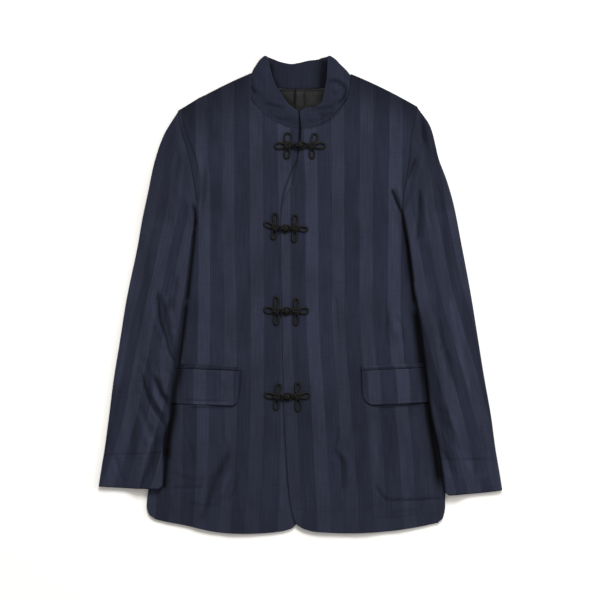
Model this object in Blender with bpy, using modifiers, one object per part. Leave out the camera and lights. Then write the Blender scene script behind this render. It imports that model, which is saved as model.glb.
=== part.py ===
"""A jacket with a stand collar and four knotted cord closures, laid out flat with its front up.

Metres, +Z up. The collar points along +Y, the wearer's right side is at -X, the left front
lies over the right one, and the back rests on z = 0 with the origin below the middle.
"""
import math

import bmesh
import bpy
from mathutils import Matrix, Vector

MM = 0.001

# Thicknesses and clearances, in millimetres
CLOTH = 2.0            # shell cloth with its facing and lining
FLAP_CLOTH = 1.5       # a turned flap, pressed flat
LINING_CLOTH = 1.2
GAP = 0.4              # between a piece and what it lies on
SEAM = 0.6             # between two pieces that are sewn edge to edge
SHOULDER_SEAM = 2.2    # added at the shoulder point, where a sleeve's fold turns in

# Heights of the layers above the floor
EDGE_TOP = 2 * CLOTH + GAP        # a front where it lies down on the back
CROWN = 2.0                       # how far a front swells above that in its middle
UNDERLAP_TOP = EDGE_TOP + 0.2     # the right front where the left one covers it
OVERLAP_TOP = UNDERLAP_TOP + GAP + CLOTH
SLEEVE_REST = EDGE_TOP + GAP + FLAP_CLOTH + 0.3   # underside of a sleeve over the body
SLEEVE_NEAR, SLEEVE_FAR = 14.0, 40.0   # where a sleeve starts to fall beside the body and lands
UNDERLAP_FLAT, OVERLAP_FLAT = 66.0, 46.0   # how far from the middle the fronts lie level
COLLAR_LOFT = 10.0                # outer face of the collar at its free front edge
ROUNDING = 50.0                   # width over which a front swells up

# Closures
CORD = 1.7             # radius of the cord
ROSETTE = 6.0          # radius of the coil that the petals start from
COIL_HEIGHT = 2.5      # half the coil's thickness
PETAL_POINTS, LOOP_POINTS = 10, 12
BALL_SEGMENTS, BALL_RINGS = 10, 6
PETAL_REACH = 14.0     # flower centre to petal centre
PETAL_HALF_LENGTH, PETAL_HALF_WIDTH = 8.5, 3.9
KNOT = 3.7             # radius of the knotted button
LOOP = 5.7             # radius of the loop that holds it, at the cord's middle
LOOP_CORD = 1.3
STEM_CORDS = 3         # cords of the loop that the stem stands clear of
STEM_RUN, STEM_REST = 4.8, 1.6   # where the stem starts to climb before the loop and where it is up
PETAL_TAPER = 0.28     # how much a petal narrows towards the flower

# Where the armhole starts above the side seam
SIDE_TOP = 104
UNDERARM = 116
ARMHOLE_FOOT = 150


def table(columns, *rows):
    """Rows of millimetre values under named columns."""
    return [dict(zip(columns.split(), row)) for row in rows]


# A row for each section of a front, hem to shoulder: its side or armhole end, its centre edge or
# neckline end, how far its middle sags along Y and how much of it the sleeve covers
FRONT_COLUMNS = "side_x side_y edge_x edge_y sag cover"
FRONT_RIGHT = table(
    FRONT_COLUMNS,
    (-240, -371.5, -29, -391, -12, 5), (-250.5, -362.5, -14, -386, -12, 9), (-254, -349, -5, -373, -10, 15),
    (-250, -310, -4, -335, -6, 27), (-247, -260, -3, -270, -2, 22), (-243, -190, -3, -190, 0, 27),
    (-239, -110, -3, -110, 0, 36), (-235, -20, -3, -20, 0, 44), (-233, 60, -3, 60, 0, 53),
    (-232, 104, -3, 106, 0, 58), (-212, 109, -3, 116, 0, 38), (-190, 112, -3, 127, 0, 17),
    (-174, 118, -3, 140, 0, 3), (-171, 130, -3, 160, 0, 0), (-171.5, 150, -3, 188, 0, 0),
    (-174, 168, -3, 214, 0, 0), (-178, 194, -3, 244, 0, 0), (-182, 218, -4, 272.5, 0, 0),
    (-187, 239, -22, 277.5, 0, 0), (-192, 254, -45, 287.5, 0, 0), (-196, 267, -65, 303.5, 0, 0),
    (-199.5, 283, -82.2, 327, 0, 0), (-202.5, 303.5, -80, 366.5, 3, 0))
FRONT_LEFT = table(
    FRONT_COLUMNS,
    (227, -377, 20, -391.5, -8.5, 5), (236, -369, 3, -386, -10, 8), (240.5, -353, -9, -376, -10, 10),
    (239, -330, -16, -350, -7, 8), (238, -290, -21, -305, -3, 8), (236, -240, -25, -245, 0, 14),
    (234, -180, -28, -180, 0, 20), (231, -100, -29.5, -100, 0, 29), (229, -20, -31, -20, 0, 38),
    (227, 50, -33, 50, 0, 45), (226, 104, -33, 112, 0, 51), (206, 109, -32.5, 128, 0, 31),
    (184, 112, -31, 145, 0, 10), (168, 118, -24, 162, 0, 0), (167, 130, -15, 178, 0, 0),
    (168.5, 150, -9, 200, 0, 0), (171, 169.5, -5, 224, 0, 0), (176, 194, -2, 249, 0, 0),
    (179, 218, 1, 272.5, 0, 0), (180, 237, 20, 277, 0, 0), (181, 252, 43, 287, 0, 0),
    (183.5, 268, 61, 303, 0, 0), (187.5, 287, 80, 333, 0, 0), (193.5, 310, 83, 364.5, 2.5, 0))
FRONT_COLUMNS_ACROSS = 15

# The back: its two sides hem to shoulder, how much of the hem's sag and of the shoulder line's
# shape each row takes
BACK = table(
    "left_x left_y right_x right_y hem yoke",
    (-248, -359, 236, -356, 1, 0), (-252, -347, 239, -343, 0.8, 0), (-250, -310, 238, -300, 0.4, 0),
    (-246, -240, 236, -240, 0, 0), (-240, -130, 232, -130, 0, 0), (-235, -20, 229, -20, 0, 0),
    (-233, 60, 227, 50, 0, 0), (-232, 104, 226, 104, 0, 0), (-212, 109, 206, 109, 0, 0),
    (-190, 112, 184, 112, 0, 0), (-174, 118, 168, 118, 0, 0), (-171, 130, 167, 130, 0, 0),
    (-171.5, 150, 168.5, 150, 0, 0.02), (-174, 168, 171, 169.5, 0, 0.08), (-178, 194, 176, 194, 0, 0.2),
    (-182, 218, 179, 218, 0, 0.35), (-187, 239, 180, 237, 0, 0.5), (-196, 267, 183.5, 268, 0, 0.75),
    (-202.5, 303.5, 193.5, 310, 0, 1))
BACK_HEM_SAG = -10.0
# The shoulder line and the back neck, along X
BACK_TOP = table(
    "x y", (-202.5, 303.5), (-168, 325), (-101, 356), (-80, 366), (-58, 346), (-30, 341), (0, 340),
    (30, 341), (58, 346), (83, 364), (98, 357), (162, 327.5), (193.5, 310))

# A row for each section of a sleeve, shoulder to cuff: its outer and inner folds, its thickness
SLEEVE_COLUMNS = "outer_x outer_y inner_x inner_y thick"
SLEEVE_RIGHT = table(
    SLEEVE_COLUMNS,
    (-203, 303.5, -172, 150, 5.0), (-227, 261, -174, 139, 5.6), (-242, 216, -174.5, 128, 6.2),
    (-252, 167, -176, 110, 6.8), (-261, 125, -180, 91, 7.0), (-269, 80, -182, 70, 7.0),
    (-287.5, -9, -191, -9, 7.0), (-298, -75, -199, -75, 7.4), (-308.5, -140, -209, -135, 7.4),
    (-317, -207, -218, -212, 7.0), (-323.5, -255, -227, -250, 7.0), (-329.5, -291, -226, -292, 6.8),
    (-333.5, -317, -227.5, -324, 6.4))
SLEEVE_LEFT = table(
    SLEEVE_COLUMNS,
    (194, 310, 169, 150, 5.0), (214.5, 274, 169, 141, 5.6), (228.5, 224, 169, 130, 6.2),
    (241, 190, 171, 116, 6.8), (253, 148, 174, 100, 7.0), (265, 88, 178, 80, 7.0),
    (281.5, 0, 188, 2, 7.0), (291.5, -62, 198, -60, 7.4), (303, -134, 207, -134, 7.4),
    (315, -202, 215.5, -202, 7.0), (322, -254, 227, -252, 7.0), (329.5, -298, 234, -300, 6.8),
    (333.5, -323.5, 238.5, -335, 6.4))
SLEEVE_ACROSS = 7      # points between the folds, above and below
FOLD_BEND = 0.29       # where the middle points of a fold's half round stand, of its radius
FOLD_LEVELS = (0.15, 0.5, 0.85)
SHOULDER_SHARE = 0.2   # of the armhole, over which the shoulder's extra seam fades

# The collar's front halves, from the centre front round to the fold over the shoulder: its
# neck edge and its free edge
COLLAR_COLUMNS = "neck_x neck_y free_x free_y"
COLLAR_RIGHT = table(
    COLLAR_COLUMNS,
    (-5, 273.4, -4.5, 304.8), (-22, 278.4, -13, 312), (-45, 288.5, -22, 319), (-64.5, 304.5, -31, 331),
    (-80.6, 328, -40.5, 345), (-80.9, 341, -47, 362))
COLLAR_LEFT = table(
    COLLAR_COLUMNS,
    (1.5, 273.4, -1.8, 305), (19.5, 278, 9, 310), (42.3, 288, 23, 310), (60, 304, 34, 317),
    (77, 330, 39, 335), (80.2, 344, 43, 357))
# The fold over each shoulder, from the neck seam to the collar's tip
FOLD_RIGHT = table("x y", (-78.3, 366.3), (-76.5, 372), (-75, 378.5), (-68.5, 388.5), (-58.5, 395.2))
FOLD_LEFT = table("x y", (81, 364), (73, 370.5), (65, 379.5), (56.5, 389), (48, 395.2))
COLLAR_BACK = table(
    COLLAR_COLUMNS,
    (-63, 352, -46, 389.5), (-40, 344, -32, 384.3), (-20, 341, -15, 381.2), (0, 340.6, -1.5, 383.2),
    (20, 341, 14, 386.8), (40, 344, 28, 388.4), (66, 353.5, 36.3, 391.5))
COLLAR_ROWS = 4        # strips from the neck seam to the free edge
COLLAR_RISE = 1.4      # how soon the collar reaches its loft on its way to the free edge
COLLAR_EASE = 1.6      # how much lower the fold lies than the loft
# The half round of the fold: how far each strip stands in from the outline, and its level
COLLAR_ROLL = table("inset level", (3.2, 1.0), (1.0, 0.86), (0.0, 0.5), (1.0, 0.14), (3.2, 0.0), (9.0, 0.0))
COLLAR_ROLL_LEAN = 0.6

# The back lining inside the neck, its rows from the neck seam down, and its box pleat
LINING = table("half_width y", (50, 340), (44, 325), (36, 312), (28, 303))
PLEAT_HALF = 8.5
PLEAT_HEIGHT = 1.2

# Pocket flaps: their top line, how far they drop and the corner's radius; a jet lies above each
FLAP_COLUMNS = "outer_x outer_y inner_x inner_y drop corner"
FLAP_RIGHT = table(FLAP_COLUMNS, (-232, -121.5, -101, -126, 57.5, 16))[0]
FLAP_LEFT = table(FLAP_COLUMNS, (226, -120, 101, -126, 57, 17))[0]
JET_HEIGHT = 7.5
FLAP_STEPS, FLAP_ROWS = 10, 4
CORNER_CUT = 0.75      # how deep a flap's rounded corner cuts, of its radius

# The four closures, neck to waist: where each knot sits
KNOTS = table("x y", (-0.3, 246.4), (-24.8, 108.7), (-23.3, -27.4), (-21.8, -168.7))
# The flower of each half, and how far its outer, upper and lower petals lean, in degrees
HALVES = table(
    "number kind x y outer upper lower",
    (1, "knot", -21, 245.8, 0, 0, -5), (1, "loop", 19, 245.8, 0, -18, 0),
    (2, "knot", -41.3, 111, -20, 0, -12), (2, "loop", -8.7, 110.2, -7, 0, -6),
    (3, "knot", -39.8, -26.5, -5, 0, 0), (3, "loop", -6.8, -26.5, 0, 0, 0),
    (4, "knot", -38.4, -168.2, -8, -7, -7), (4, "loop", -4.1, -167.7, 6, 2, 1))

# The largest folds, as ridges: ends, half width and height; a negative height is a hollow
FOLDS = table(
    "x0 y0 x1 y1 width height",
    (-156, 205, -162, 130, 12, 1.3), (-130, -300, -160, -380, 16, 1.2), (-95, -260, -110, -385, 16, -0.9),
    (160, 170, 150, 90, 13, 1.3), (60, -260, 72, -385, 15, -1.0), (100, -230, 118, -385, 18, 1.1),
    (-232, 0, -215, -120, 12, -1.5), (-258, 10, -240, -115, 13, 1.4), (-258, -150, -225, -215, 12, -1.3),
    (208, 250, 203, 95, 12, 1.3), (240, 20, 262, -150, 14, 1.2), (262, 0, 285, -160, 12, -1.2))


def smooth(value):
    """A soft step from 0 to 1."""
    value = min(max(value, 0.0), 1.0)
    return value * value * (3 - 2 * value)


def read(rows, key, value, position):
    """The value column at a position of the key column, straight between the rows."""
    rows = sorted(rows, key=lambda row: row[key])
    if position <= rows[0][key]:
        return rows[0][value]
    for low, high in zip(rows, rows[1:]):
        if position <= high[key]:
            share = (position - low[key]) / (high[key] - low[key])
            return low[value] + share * (high[value] - low[value])
    return rows[-1][value]


def line_distance(x, y, x0, y0, x1, y1):
    """Distance to a straight run, and how far along it the nearest point is, from 0 to 1."""
    run = Vector((x1 - x0, y1 - y0))
    share = Vector((x - x0, y - y0)).dot(run) / run.length_squared
    nearest = Vector((x0, y0)) + min(max(share, 0.0), 1.0) * run
    return (Vector((x, y)) - nearest).length, min(max(share, 0.0), 1.0)


def fold_height(x, y):
    """What the large folds add to the height of an upper surface."""
    total = 0.0
    for fold in FOLDS:
        distance, share = line_distance(x, y, fold["x0"], fold["y0"], fold["x1"], fold["y1"])
        ends = smooth(4 * share + 0.3) * smooth(4 * (1 - share) + 0.3)
        total += fold["height"] * ends * math.exp(-(distance / fold["width"]) ** 2)
    return total


def front_height(rows, x, y):
    """Height of a front's upper face."""
    side = read(rows, "side_y", "side_x", y)
    cover = read(rows, "side_y", "cover", y)
    shoulder, neck = rows[-1]["side_x"], rows[-1]["edge_x"]
    to_shoulder = line_distance(x, y, shoulder, rows[-1]["side_y"], neck, rows[-1]["edge_y"])[0]
    swell = smooth((abs(side - x) - cover) / ROUNDING)
    swell *= smooth(to_shoulder / ROUNDING)
    height = EDGE_TOP + CROWN * swell + fold_height(x, y) * swell
    if rows is FRONT_RIGHT:
        share = smooth((-x - UNDERLAP_FLAT) / ROUNDING)
        return UNDERLAP_TOP + (height - UNDERLAP_TOP) * share
    share = smooth((x - OVERLAP_FLAT) / ROUNDING)
    return OVERLAP_TOP + (height - OVERLAP_TOP) * share


def body_side(x, y):
    """The body's side seam on the side where x is."""
    return read(FRONT_RIGHT if x < 0 else FRONT_LEFT, "side_y", "side_x", min(y, SIDE_TOP))


def sleeve_rest(x, y):
    """Height of a sleeve's underside: on the floor, or up on the body's side."""
    beside = max(0.0, abs(x) - abs(body_side(x, y)))
    above = max(0.0, y - UNDERARM)
    away = math.hypot(beside, above)
    return SLEEVE_REST * (1 - smooth((away - SLEEVE_NEAR) / (SLEEVE_FAR - SLEEVE_NEAR)))


def material(name, colour, roughness):
    """A plain cloth or cord finish."""
    finish = bpy.data.materials.new(name)
    finish.use_nodes = True
    shader = finish.node_tree.nodes["Principled BSDF"]
    shader.inputs["Base Color"].default_value = (*colour, 1)
    shader.inputs["Roughness"].default_value = roughness
    shader.inputs["Metallic"].default_value = 0.0
    return finish


def place(name, mesh, finish):
    """An object of the jacket with its own material."""
    own = finish.copy()
    own.name = name + "_" + finish.name
    mesh.materials.clear()
    mesh.materials.append(own)
    piece = bpy.data.objects.new(name, mesh)
    jacket.objects.link(piece)
    return piece


def surface(name, grid, closed=False):
    """An open skin through rows of points in millimetres; closed joins each row into a ring."""
    shape = bmesh.new()
    corners = [[shape.verts.new(Vector(point) * MM) for point in row] for row in grid]
    for low, high in zip(corners, corners[1:]):
        count = len(low)
        for column in range(count if closed else count - 1):
            after = (column + 1) % count
            shape.faces.new((low[column], low[after], high[after], high[column]))
    mesh = bpy.data.meshes.new(name)
    shape.to_mesh(mesh)
    shape.free()
    return mesh


def cloth(name, grid, thickness, finish, closed=False, flip=False):
    """A cloth wall under a skin of points."""
    if flip:
        grid = [list(reversed(row)) for row in grid]
    piece = place(name, surface(name, grid, closed), finish)
    wall = piece.modifiers.new("Wall", "SOLIDIFY")
    wall.thickness = thickness * MM
    wall.offset = -1
    wall.use_even_offset = True
    return piece


def front_grid(rows):
    """The upper face of a front, from its side to its centre edge."""
    grid = []
    for row in rows:
        line = []
        for step in range(FRONT_COLUMNS_ACROSS):
            share = step / (FRONT_COLUMNS_ACROSS - 1)
            x = row["side_x"] + share * (row["edge_x"] - row["side_x"])
            y = row["side_y"] + share * (row["edge_y"] - row["side_y"])
            y += 4 * share * (1 - share) * row["sag"]
            line.append((x, y, front_height(rows, x, y)))
        grid.append(line)
    return grid


def back_grid():
    """The back's upper face, side to side."""
    left, right = BACK_TOP[0], BACK_TOP[-1]
    shares = [(point["x"] - left["x"]) / (right["x"] - left["x"]) for point in BACK_TOP]
    rises = [point["y"] - left["y"] - share * (right["y"] - left["y"])
             for point, share in zip(BACK_TOP, shares)]
    grid = []
    for row in BACK:
        line = []
        for share, rise in zip(shares, rises):
            x = row["left_x"] + share * (row["right_x"] - row["left_x"])
            y = row["left_y"] + share * (row["right_y"] - row["left_y"])
            y += 4 * share * (1 - share) * BACK_HEM_SAG * row["hem"] + rise * row["yoke"]
            line.append((x, y, CLOTH))
        grid.append(line)
    return grid


def armhole_point(rows, share):
    """A point of the armhole seam, from the shoulder (0) to the underarm (1), just outside it."""
    edge = [Vector((row["side_x"], row["side_y"])) for row in rows if row["side_y"] >= ARMHOLE_FOOT]
    edge.reverse()
    lengths = [(b - a).length for a, b in zip(edge, edge[1:])]
    distance = share * sum(lengths)
    for start, end, length in zip(edge, edge[1:], lengths):
        if distance <= length:
            break
        distance -= length
    point = start.lerp(end, min(distance / length, 1.0))
    point.x += math.copysign(SEAM + SHOULDER_SEAM * max(0.0, 1 - share / SHOULDER_SHARE), point.x)
    return point


def sleeve_grid(rows, front):
    """Rings of a flattened sleeve from its armhole to its cuff."""
    grid = []
    for number, row in enumerate(rows):
        outer = Vector((row["outer_x"], row["outer_y"]))
        inner = Vector((row["inner_x"], row["inner_y"]))
        width, thick = (inner - outer).length, row["thick"]
        radius = thick / 2
        bends = (FOLD_BEND * radius, 0, FOLD_BEND * radius)
        flat = [radius + step * (width - thick) / (SLEEVE_ACROSS - 1) for step in range(SLEEVE_ACROSS)]
        ring = list(zip(bends, FOLD_LEVELS)) + [(along, 1) for along in flat]
        ring += [(width - bend, level) for bend, level in zip(bends, reversed(FOLD_LEVELS))]
        ring += [(along, 0) for along in reversed(flat)]
        line = []
        for along, level in ring:
            point = armhole_point(front, along / width) if number == 0 else outer.lerp(inner, along / width)
            height = sleeve_rest(point.x, point.y) + level * thick
            if level == 1:
                height += fold_height(point.x, point.y)
            line.append((point.x, point.y, height))
        grid.append(line)
    return grid


def collar_front_grid(rows, fold, front):
    """Half of the collar's outer face, from the centre front round the fold to the back."""
    grid = []
    for row in rows:
        line = []
        for step in range(COLLAR_ROWS + 1):
            share = step / COLLAR_ROWS
            x = row["neck_x"] + share * (row["free_x"] - row["neck_x"])
            y = row["neck_y"] + share * (row["free_y"] - row["neck_y"])
            low = front_height(front, row["neck_x"], row["neck_y"])
            line.append((x, y, low + (COLLAR_LOFT - low) * smooth(COLLAR_RISE * share)))
        grid.append(line)
    inward = math.copysign(1, -fold[0]["x"])
    low = EDGE_TOP + SEAM
    for roll in COLLAR_ROLL:
        line = []
        for step, point in enumerate(fold):
            top = low + (COLLAR_LOFT - COLLAR_EASE - EDGE_TOP) * smooth(COLLAR_RISE * step / COLLAR_ROWS)
            line.append((point["x"] + inward * roll["inset"], point["y"] - COLLAR_ROLL_LEAN * roll["inset"],
                         roll["level"] * top))
        grid.append(line)
    return grid


def collar_back_grid():
    """The back of the collar, its inner face up."""
    return [[(row["neck_x"] + share * (row["free_x"] - row["neck_x"]),
              row["neck_y"] + share * (row["free_y"] - row["neck_y"]), CLOTH)
             for share in (step / COLLAR_ROWS for step in range(COLLAR_ROWS + 1))] for row in COLLAR_BACK]


def lining_grid():
    """The lining below the back neck, with the two folds of its box pleat."""
    low = CLOTH + GAP + LINING_CLOTH
    grid = []
    for row in LINING:
        steps = [-row["half_width"], -PLEAT_HALF * 2, -PLEAT_HALF - 1, -PLEAT_HALF, 0,
                 PLEAT_HALF, PLEAT_HALF + 1, PLEAT_HALF * 2, row["half_width"]]
        grid.append([(x, row["y"], low + (PLEAT_HEIGHT if abs(x) <= PLEAT_HALF else 0)) for x in steps])
    return grid


def flap_grid(flap, front):
    """A flap's upper face, with its two lower corners rounded."""
    grid = []
    for step in range(FLAP_STEPS + 1):
        share = step / FLAP_STEPS
        x = flap["outer_x"] + share * (flap["inner_x"] - flap["outer_x"])
        top = flap["outer_y"] + share * (flap["inner_y"] - flap["outer_y"])
        width = abs(flap["inner_x"] - flap["outer_x"])
        in_corner = max(0.0, flap["corner"] - min(share, 1 - share) * width) / flap["corner"]
        drop = flap["drop"] - CORNER_CUT * flap["corner"] * (1 - math.sqrt(1 - in_corner ** 2))
        line = []
        for row in range(FLAP_ROWS + 1):
            y = top - row / FLAP_ROWS * drop
            line.append((x, y, front_height(front, x, y) + GAP + FLAP_CLOTH))
        grid.append(line)
    return grid


def jet_grid(flap, front):
    """The narrow welt above a flap."""
    grid = []
    for step in range(FLAP_STEPS + 1):
        share = step / FLAP_STEPS
        x = flap["outer_x"] + share * (flap["inner_x"] - flap["outer_x"])
        top = flap["outer_y"] + share * (flap["inner_y"] - flap["outer_y"]) + SEAM + JET_HEIGHT
        grid.append([(x, top - drop, front_height(front, x, top - drop) + GAP + FLAP_CLOTH)
                     for drop in (0.0, JET_HEIGHT)])
    return grid


def tube(points, radius, cyclic):
    """A round cord through points in millimetres, as a closed mesh."""
    curve = bpy.data.curves.new("cord", "CURVE")
    curve.dimensions = "3D"
    curve.bevel_depth = radius * MM
    curve.bevel_resolution = 1
    curve.use_fill_caps = not cyclic
    spline = curve.splines.new("POLY")
    spline.points.add(len(points) - 1)
    for knot, point in zip(spline.points, points):
        knot.co = (*(Vector(point) * MM), 1)
    spline.use_cyclic_u = cyclic
    holder = bpy.data.objects.new("cord", curve)
    jacket.objects.link(holder)
    mesh = bpy.data.meshes.new_from_object(holder.evaluated_get(bpy.context.evaluated_depsgraph_get()))
    bpy.data.objects.remove(holder)
    shape = bmesh.new()
    shape.from_mesh(mesh)
    bmesh.ops.remove_doubles(shape, verts=shape.verts, dist=0.00001)
    shape.to_mesh(mesh)
    shape.free()
    return mesh


def ball(centre, radii):
    """A squashed sphere in millimetres."""
    shape = bmesh.new()
    bmesh.ops.create_uvsphere(shape, u_segments=BALL_SEGMENTS, v_segments=BALL_RINGS, radius=1)
    stretch = Matrix.Diagonal((*(Vector(radii) * MM), 1))
    bmesh.ops.transform(shape, matrix=Matrix.Translation(Vector(centre) * MM) @ stretch, verts=shape.verts)
    mesh = bpy.data.meshes.new("ball")
    shape.to_mesh(mesh)
    shape.free()
    return mesh


def union(meshes):
    """One closed mesh of all that overlap."""
    objects = [bpy.data.objects.new("piece", mesh) for mesh in meshes]
    for item in objects:
        jacket.objects.link(item)
    for other in objects[1:]:
        joint = objects[0].modifiers.new("Union", "BOOLEAN")
        joint.operation = "UNION"
        joint.object = other
    joined = bpy.data.meshes.new_from_object(
        objects[0].evaluated_get(bpy.context.evaluated_depsgraph_get()))
    for item in objects:
        bpy.data.objects.remove(item)
    return joined


def petal(flower, angle, height):
    """A petal's loop of cord, pointing along an angle in degrees from the flower's centre."""
    turn = Matrix.Rotation(math.radians(angle), 3, "Z")
    points = []
    for step in range(PETAL_POINTS):
        around = 2 * math.pi * step / PETAL_POINTS
        along = PETAL_REACH + PETAL_HALF_LENGTH * math.cos(around)
        narrow = 1 - PETAL_TAPER + PETAL_TAPER * math.cos(around)
        across = PETAL_HALF_WIDTH * math.sin(around) * narrow
        points.append(flower + turn @ Vector((along, across, height)))
    return points


def closure_half(half, knot, panel):
    """Half a closure: a coil with three petals, and a stem with the knot or the loop round it."""
    flower = Vector((half["x"], half["y"], 0))
    button = Vector((knot["x"], knot["y"], 0))
    toward = (button - flower).normalized()
    across = Vector((-toward.y, toward.x, 0))
    reach = (button - flower).length
    outward = 180 if half["kind"] == "knot" else 0
    pieces = [ball(flower + Vector((0, 0, panel + GAP + COIL_HEIGHT)), (ROSETTE, ROSETTE, COIL_HEIGHT))]
    for angle in (90 + half["upper"], outward + half["outer"], 270 + half["lower"]):
        pieces.append(tube(petal(flower, angle, panel + GAP + CORD), CORD, True))
    lap = OVERLAP_TOP + GAP
    if half["kind"] == "knot":
        crossing = lap + STEM_CORDS * LOOP_CORD + SEAM
        foot = panel + CORD + 2 * LOOP_CORD
        stem = [(2, panel + 2 * CORD), (reach - LOOP - STEM_RUN, foot), (reach - LOOP - STEM_REST, crossing),
                (reach - 2, crossing)]
        pieces.append(tube([flower + along * toward + Vector((0, 0, height)) for along, height in stem],
                           LOOP_CORD, False))
        pieces.append(ball(button + Vector((0, 0, lap + KNOT)), (KNOT, KNOT, KNOT)))
    else:
        ring = []
        for step in range(LOOP_POINTS):
            around = 2 * math.pi * step / LOOP_POINTS
            half_length = LOOP if math.cos(around) > 0 else reach - ROSETTE / 2
            ring.append(button + half_length * math.cos(around) * toward
                        + LOOP * math.sin(around) * across + Vector((0, 0, lap + LOOP_CORD)))
        pieces.append(tube(ring, LOOP_CORD, True))
    mesh = union(pieces)
    piece = place(f"closure_{half['number']}_{half['kind']}", mesh, black_cord)
    mesh.shade_smooth()
    return piece


for item in list(bpy.data.objects):
    bpy.data.objects.remove(item)
jacket = bpy.data.collections.new("jacket")
bpy.context.scene.collection.children.link(jacket)

navy_linen = material("navy_linen", (0.032, 0.036, 0.062), 0.85)
dark_lining = material("dark_lining", (0.02, 0.02, 0.023), 0.55)
black_cord = material("black_cord", (0.008, 0.009, 0.008), 0.6)

# Body panels
cloth("back", back_grid(), CLOTH, navy_linen)
cloth("front_right", front_grid(FRONT_RIGHT), CLOTH, navy_linen)
cloth("front_left", front_grid(FRONT_LEFT), CLOTH, navy_linen, flip=True)

# Sleeves
cloth("sleeve_right", sleeve_grid(SLEEVE_RIGHT, FRONT_RIGHT), CLOTH, navy_linen, closed=True, flip=True)
cloth("sleeve_left", sleeve_grid(SLEEVE_LEFT, FRONT_LEFT), CLOTH, navy_linen, closed=True)

# Collar and neck
cloth("collar_right", collar_front_grid(COLLAR_RIGHT, FOLD_RIGHT, FRONT_RIGHT), CLOTH, navy_linen)
cloth("collar_left", collar_front_grid(COLLAR_LEFT, FOLD_LEFT, FRONT_LEFT), CLOTH, navy_linen, flip=True)
cloth("collar_back", collar_back_grid(), CLOTH, navy_linen, flip=True)
cloth("neck_lining", lining_grid(), LINING_CLOTH, dark_lining, flip=True)

# Pockets
for side, flap, front in (("right", FLAP_RIGHT, FRONT_RIGHT), ("left", FLAP_LEFT, FRONT_LEFT)):
    cloth("flap_" + side, flap_grid(flap, front), FLAP_CLOTH, navy_linen, flip=side == "left")
    cloth("jet_" + side, jet_grid(flap, front), FLAP_CLOTH, navy_linen, flip=side == "left")

# Closures
for half in HALVES:
    panel = front_height(FRONT_RIGHT if half["kind"] == "knot" else FRONT_LEFT, half["x"], half["y"])
    closure_half(half, KNOTS[half["number"] - 1], panel)
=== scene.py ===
"""The cloth, cords, stitching and light of a stand-collar jacket laid out flat."""
import math

import bpy
import numpy as np
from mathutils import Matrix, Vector
from mathutils.bvhtree import BVHTree


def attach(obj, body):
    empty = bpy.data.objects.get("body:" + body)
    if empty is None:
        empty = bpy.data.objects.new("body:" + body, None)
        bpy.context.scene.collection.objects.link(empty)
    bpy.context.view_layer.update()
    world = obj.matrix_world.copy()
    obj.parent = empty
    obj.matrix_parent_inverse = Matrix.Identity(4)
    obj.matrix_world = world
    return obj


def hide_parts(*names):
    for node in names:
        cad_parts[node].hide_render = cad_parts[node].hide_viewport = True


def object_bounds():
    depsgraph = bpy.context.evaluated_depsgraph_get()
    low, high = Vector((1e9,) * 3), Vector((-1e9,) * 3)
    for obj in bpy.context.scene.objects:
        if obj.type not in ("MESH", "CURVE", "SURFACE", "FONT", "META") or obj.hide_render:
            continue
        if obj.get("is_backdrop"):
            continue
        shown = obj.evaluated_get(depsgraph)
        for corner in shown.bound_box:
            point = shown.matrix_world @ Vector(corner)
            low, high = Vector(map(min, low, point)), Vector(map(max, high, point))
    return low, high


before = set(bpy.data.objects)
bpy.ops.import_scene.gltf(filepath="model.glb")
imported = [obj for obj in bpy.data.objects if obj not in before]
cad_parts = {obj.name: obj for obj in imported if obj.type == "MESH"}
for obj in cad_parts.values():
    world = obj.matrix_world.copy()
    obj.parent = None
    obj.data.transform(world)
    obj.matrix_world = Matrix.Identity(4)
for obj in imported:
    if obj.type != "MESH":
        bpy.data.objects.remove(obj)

cad_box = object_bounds()

MM = 0.001
STEP = 1.65            # millimetres to a step of the view's grid
VIEW_X, VIEW_Y = 300.5, 294.55   # the grid's own place of the origin

# All in millimetres
CLOTH, FLAP_CLOTH, LINING_CLOTH = 2.0, 1.5, 1.2    # the walls
GAP, SEAM, TUCK = 0.4, 0.6, 0.9    # between layers, between sewn edges, of a sleeve under an edge
EDGE_TOP = 2 * CLOTH + GAP         # upper face of a front at its edges
CROWN = 2.0            # how much higher it is inside
ROUNDING = 50.0        # how far inside it gets there
UNDERLAP_TOP = EDGE_TOP + 0.2
OVERLAP_TOP = UNDERLAP_TOP + GAP + CLOTH
UNDERLAP_FLAT, OVERLAP_FLAT = 66.0, 46.0           # how wide the laps lie level
UNDERARM, ARMHOLE_FOOT = 104, 150
SLEEVE_REST = EDGE_TOP + GAP + FLAP_CLOTH + 0.3    # underside of a sleeve where it lies on the body
SLEEVE_NEAR, SLEEVE_FAR = 14.0, 40.0   # where it leaves that level beside the body, and is down
CUFF_HEM = 58.0
COLLAR_LOFT, COLLAR_HEIGHT = 10.0, 34.0            # above the floor, and along its cloth
FOLD_COLUMNS, TURN_COLUMNS, FOLD_RADIUS = 15, 16, 3.2   # the collar's folds and the way to them
COLLAR_LAP = 0.04      # how far the collar reaches over the neck seam, as a share of its width
ROSETTE, KNOT, LOOP = 6.0, 3.7, 5.7    # radii, and below those of the cords
PETAL_CORD, LOOP_CORD, WEAVE_CORD, RING_CORD, KNOT_CORD = 2.0, 1.3, 1.25, 1.6, 1.05


def table(text):
    """Rows of numbers. A row ends at a semicolon or at the end of its line."""
    return np.array([row.split() for row in text.replace(";", "\n").strip().splitlines()], float)


def strokes(text):
    """Lines drawn on the cloth: the numbers of each, a colon, and its points."""
    rows = [row.split(":") for row in text.replace(";", "\n").strip().splitlines()]
    return [(*map(float, facts.split()), *table(points.replace(",", ";"))) for facts, points in rows]


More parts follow.
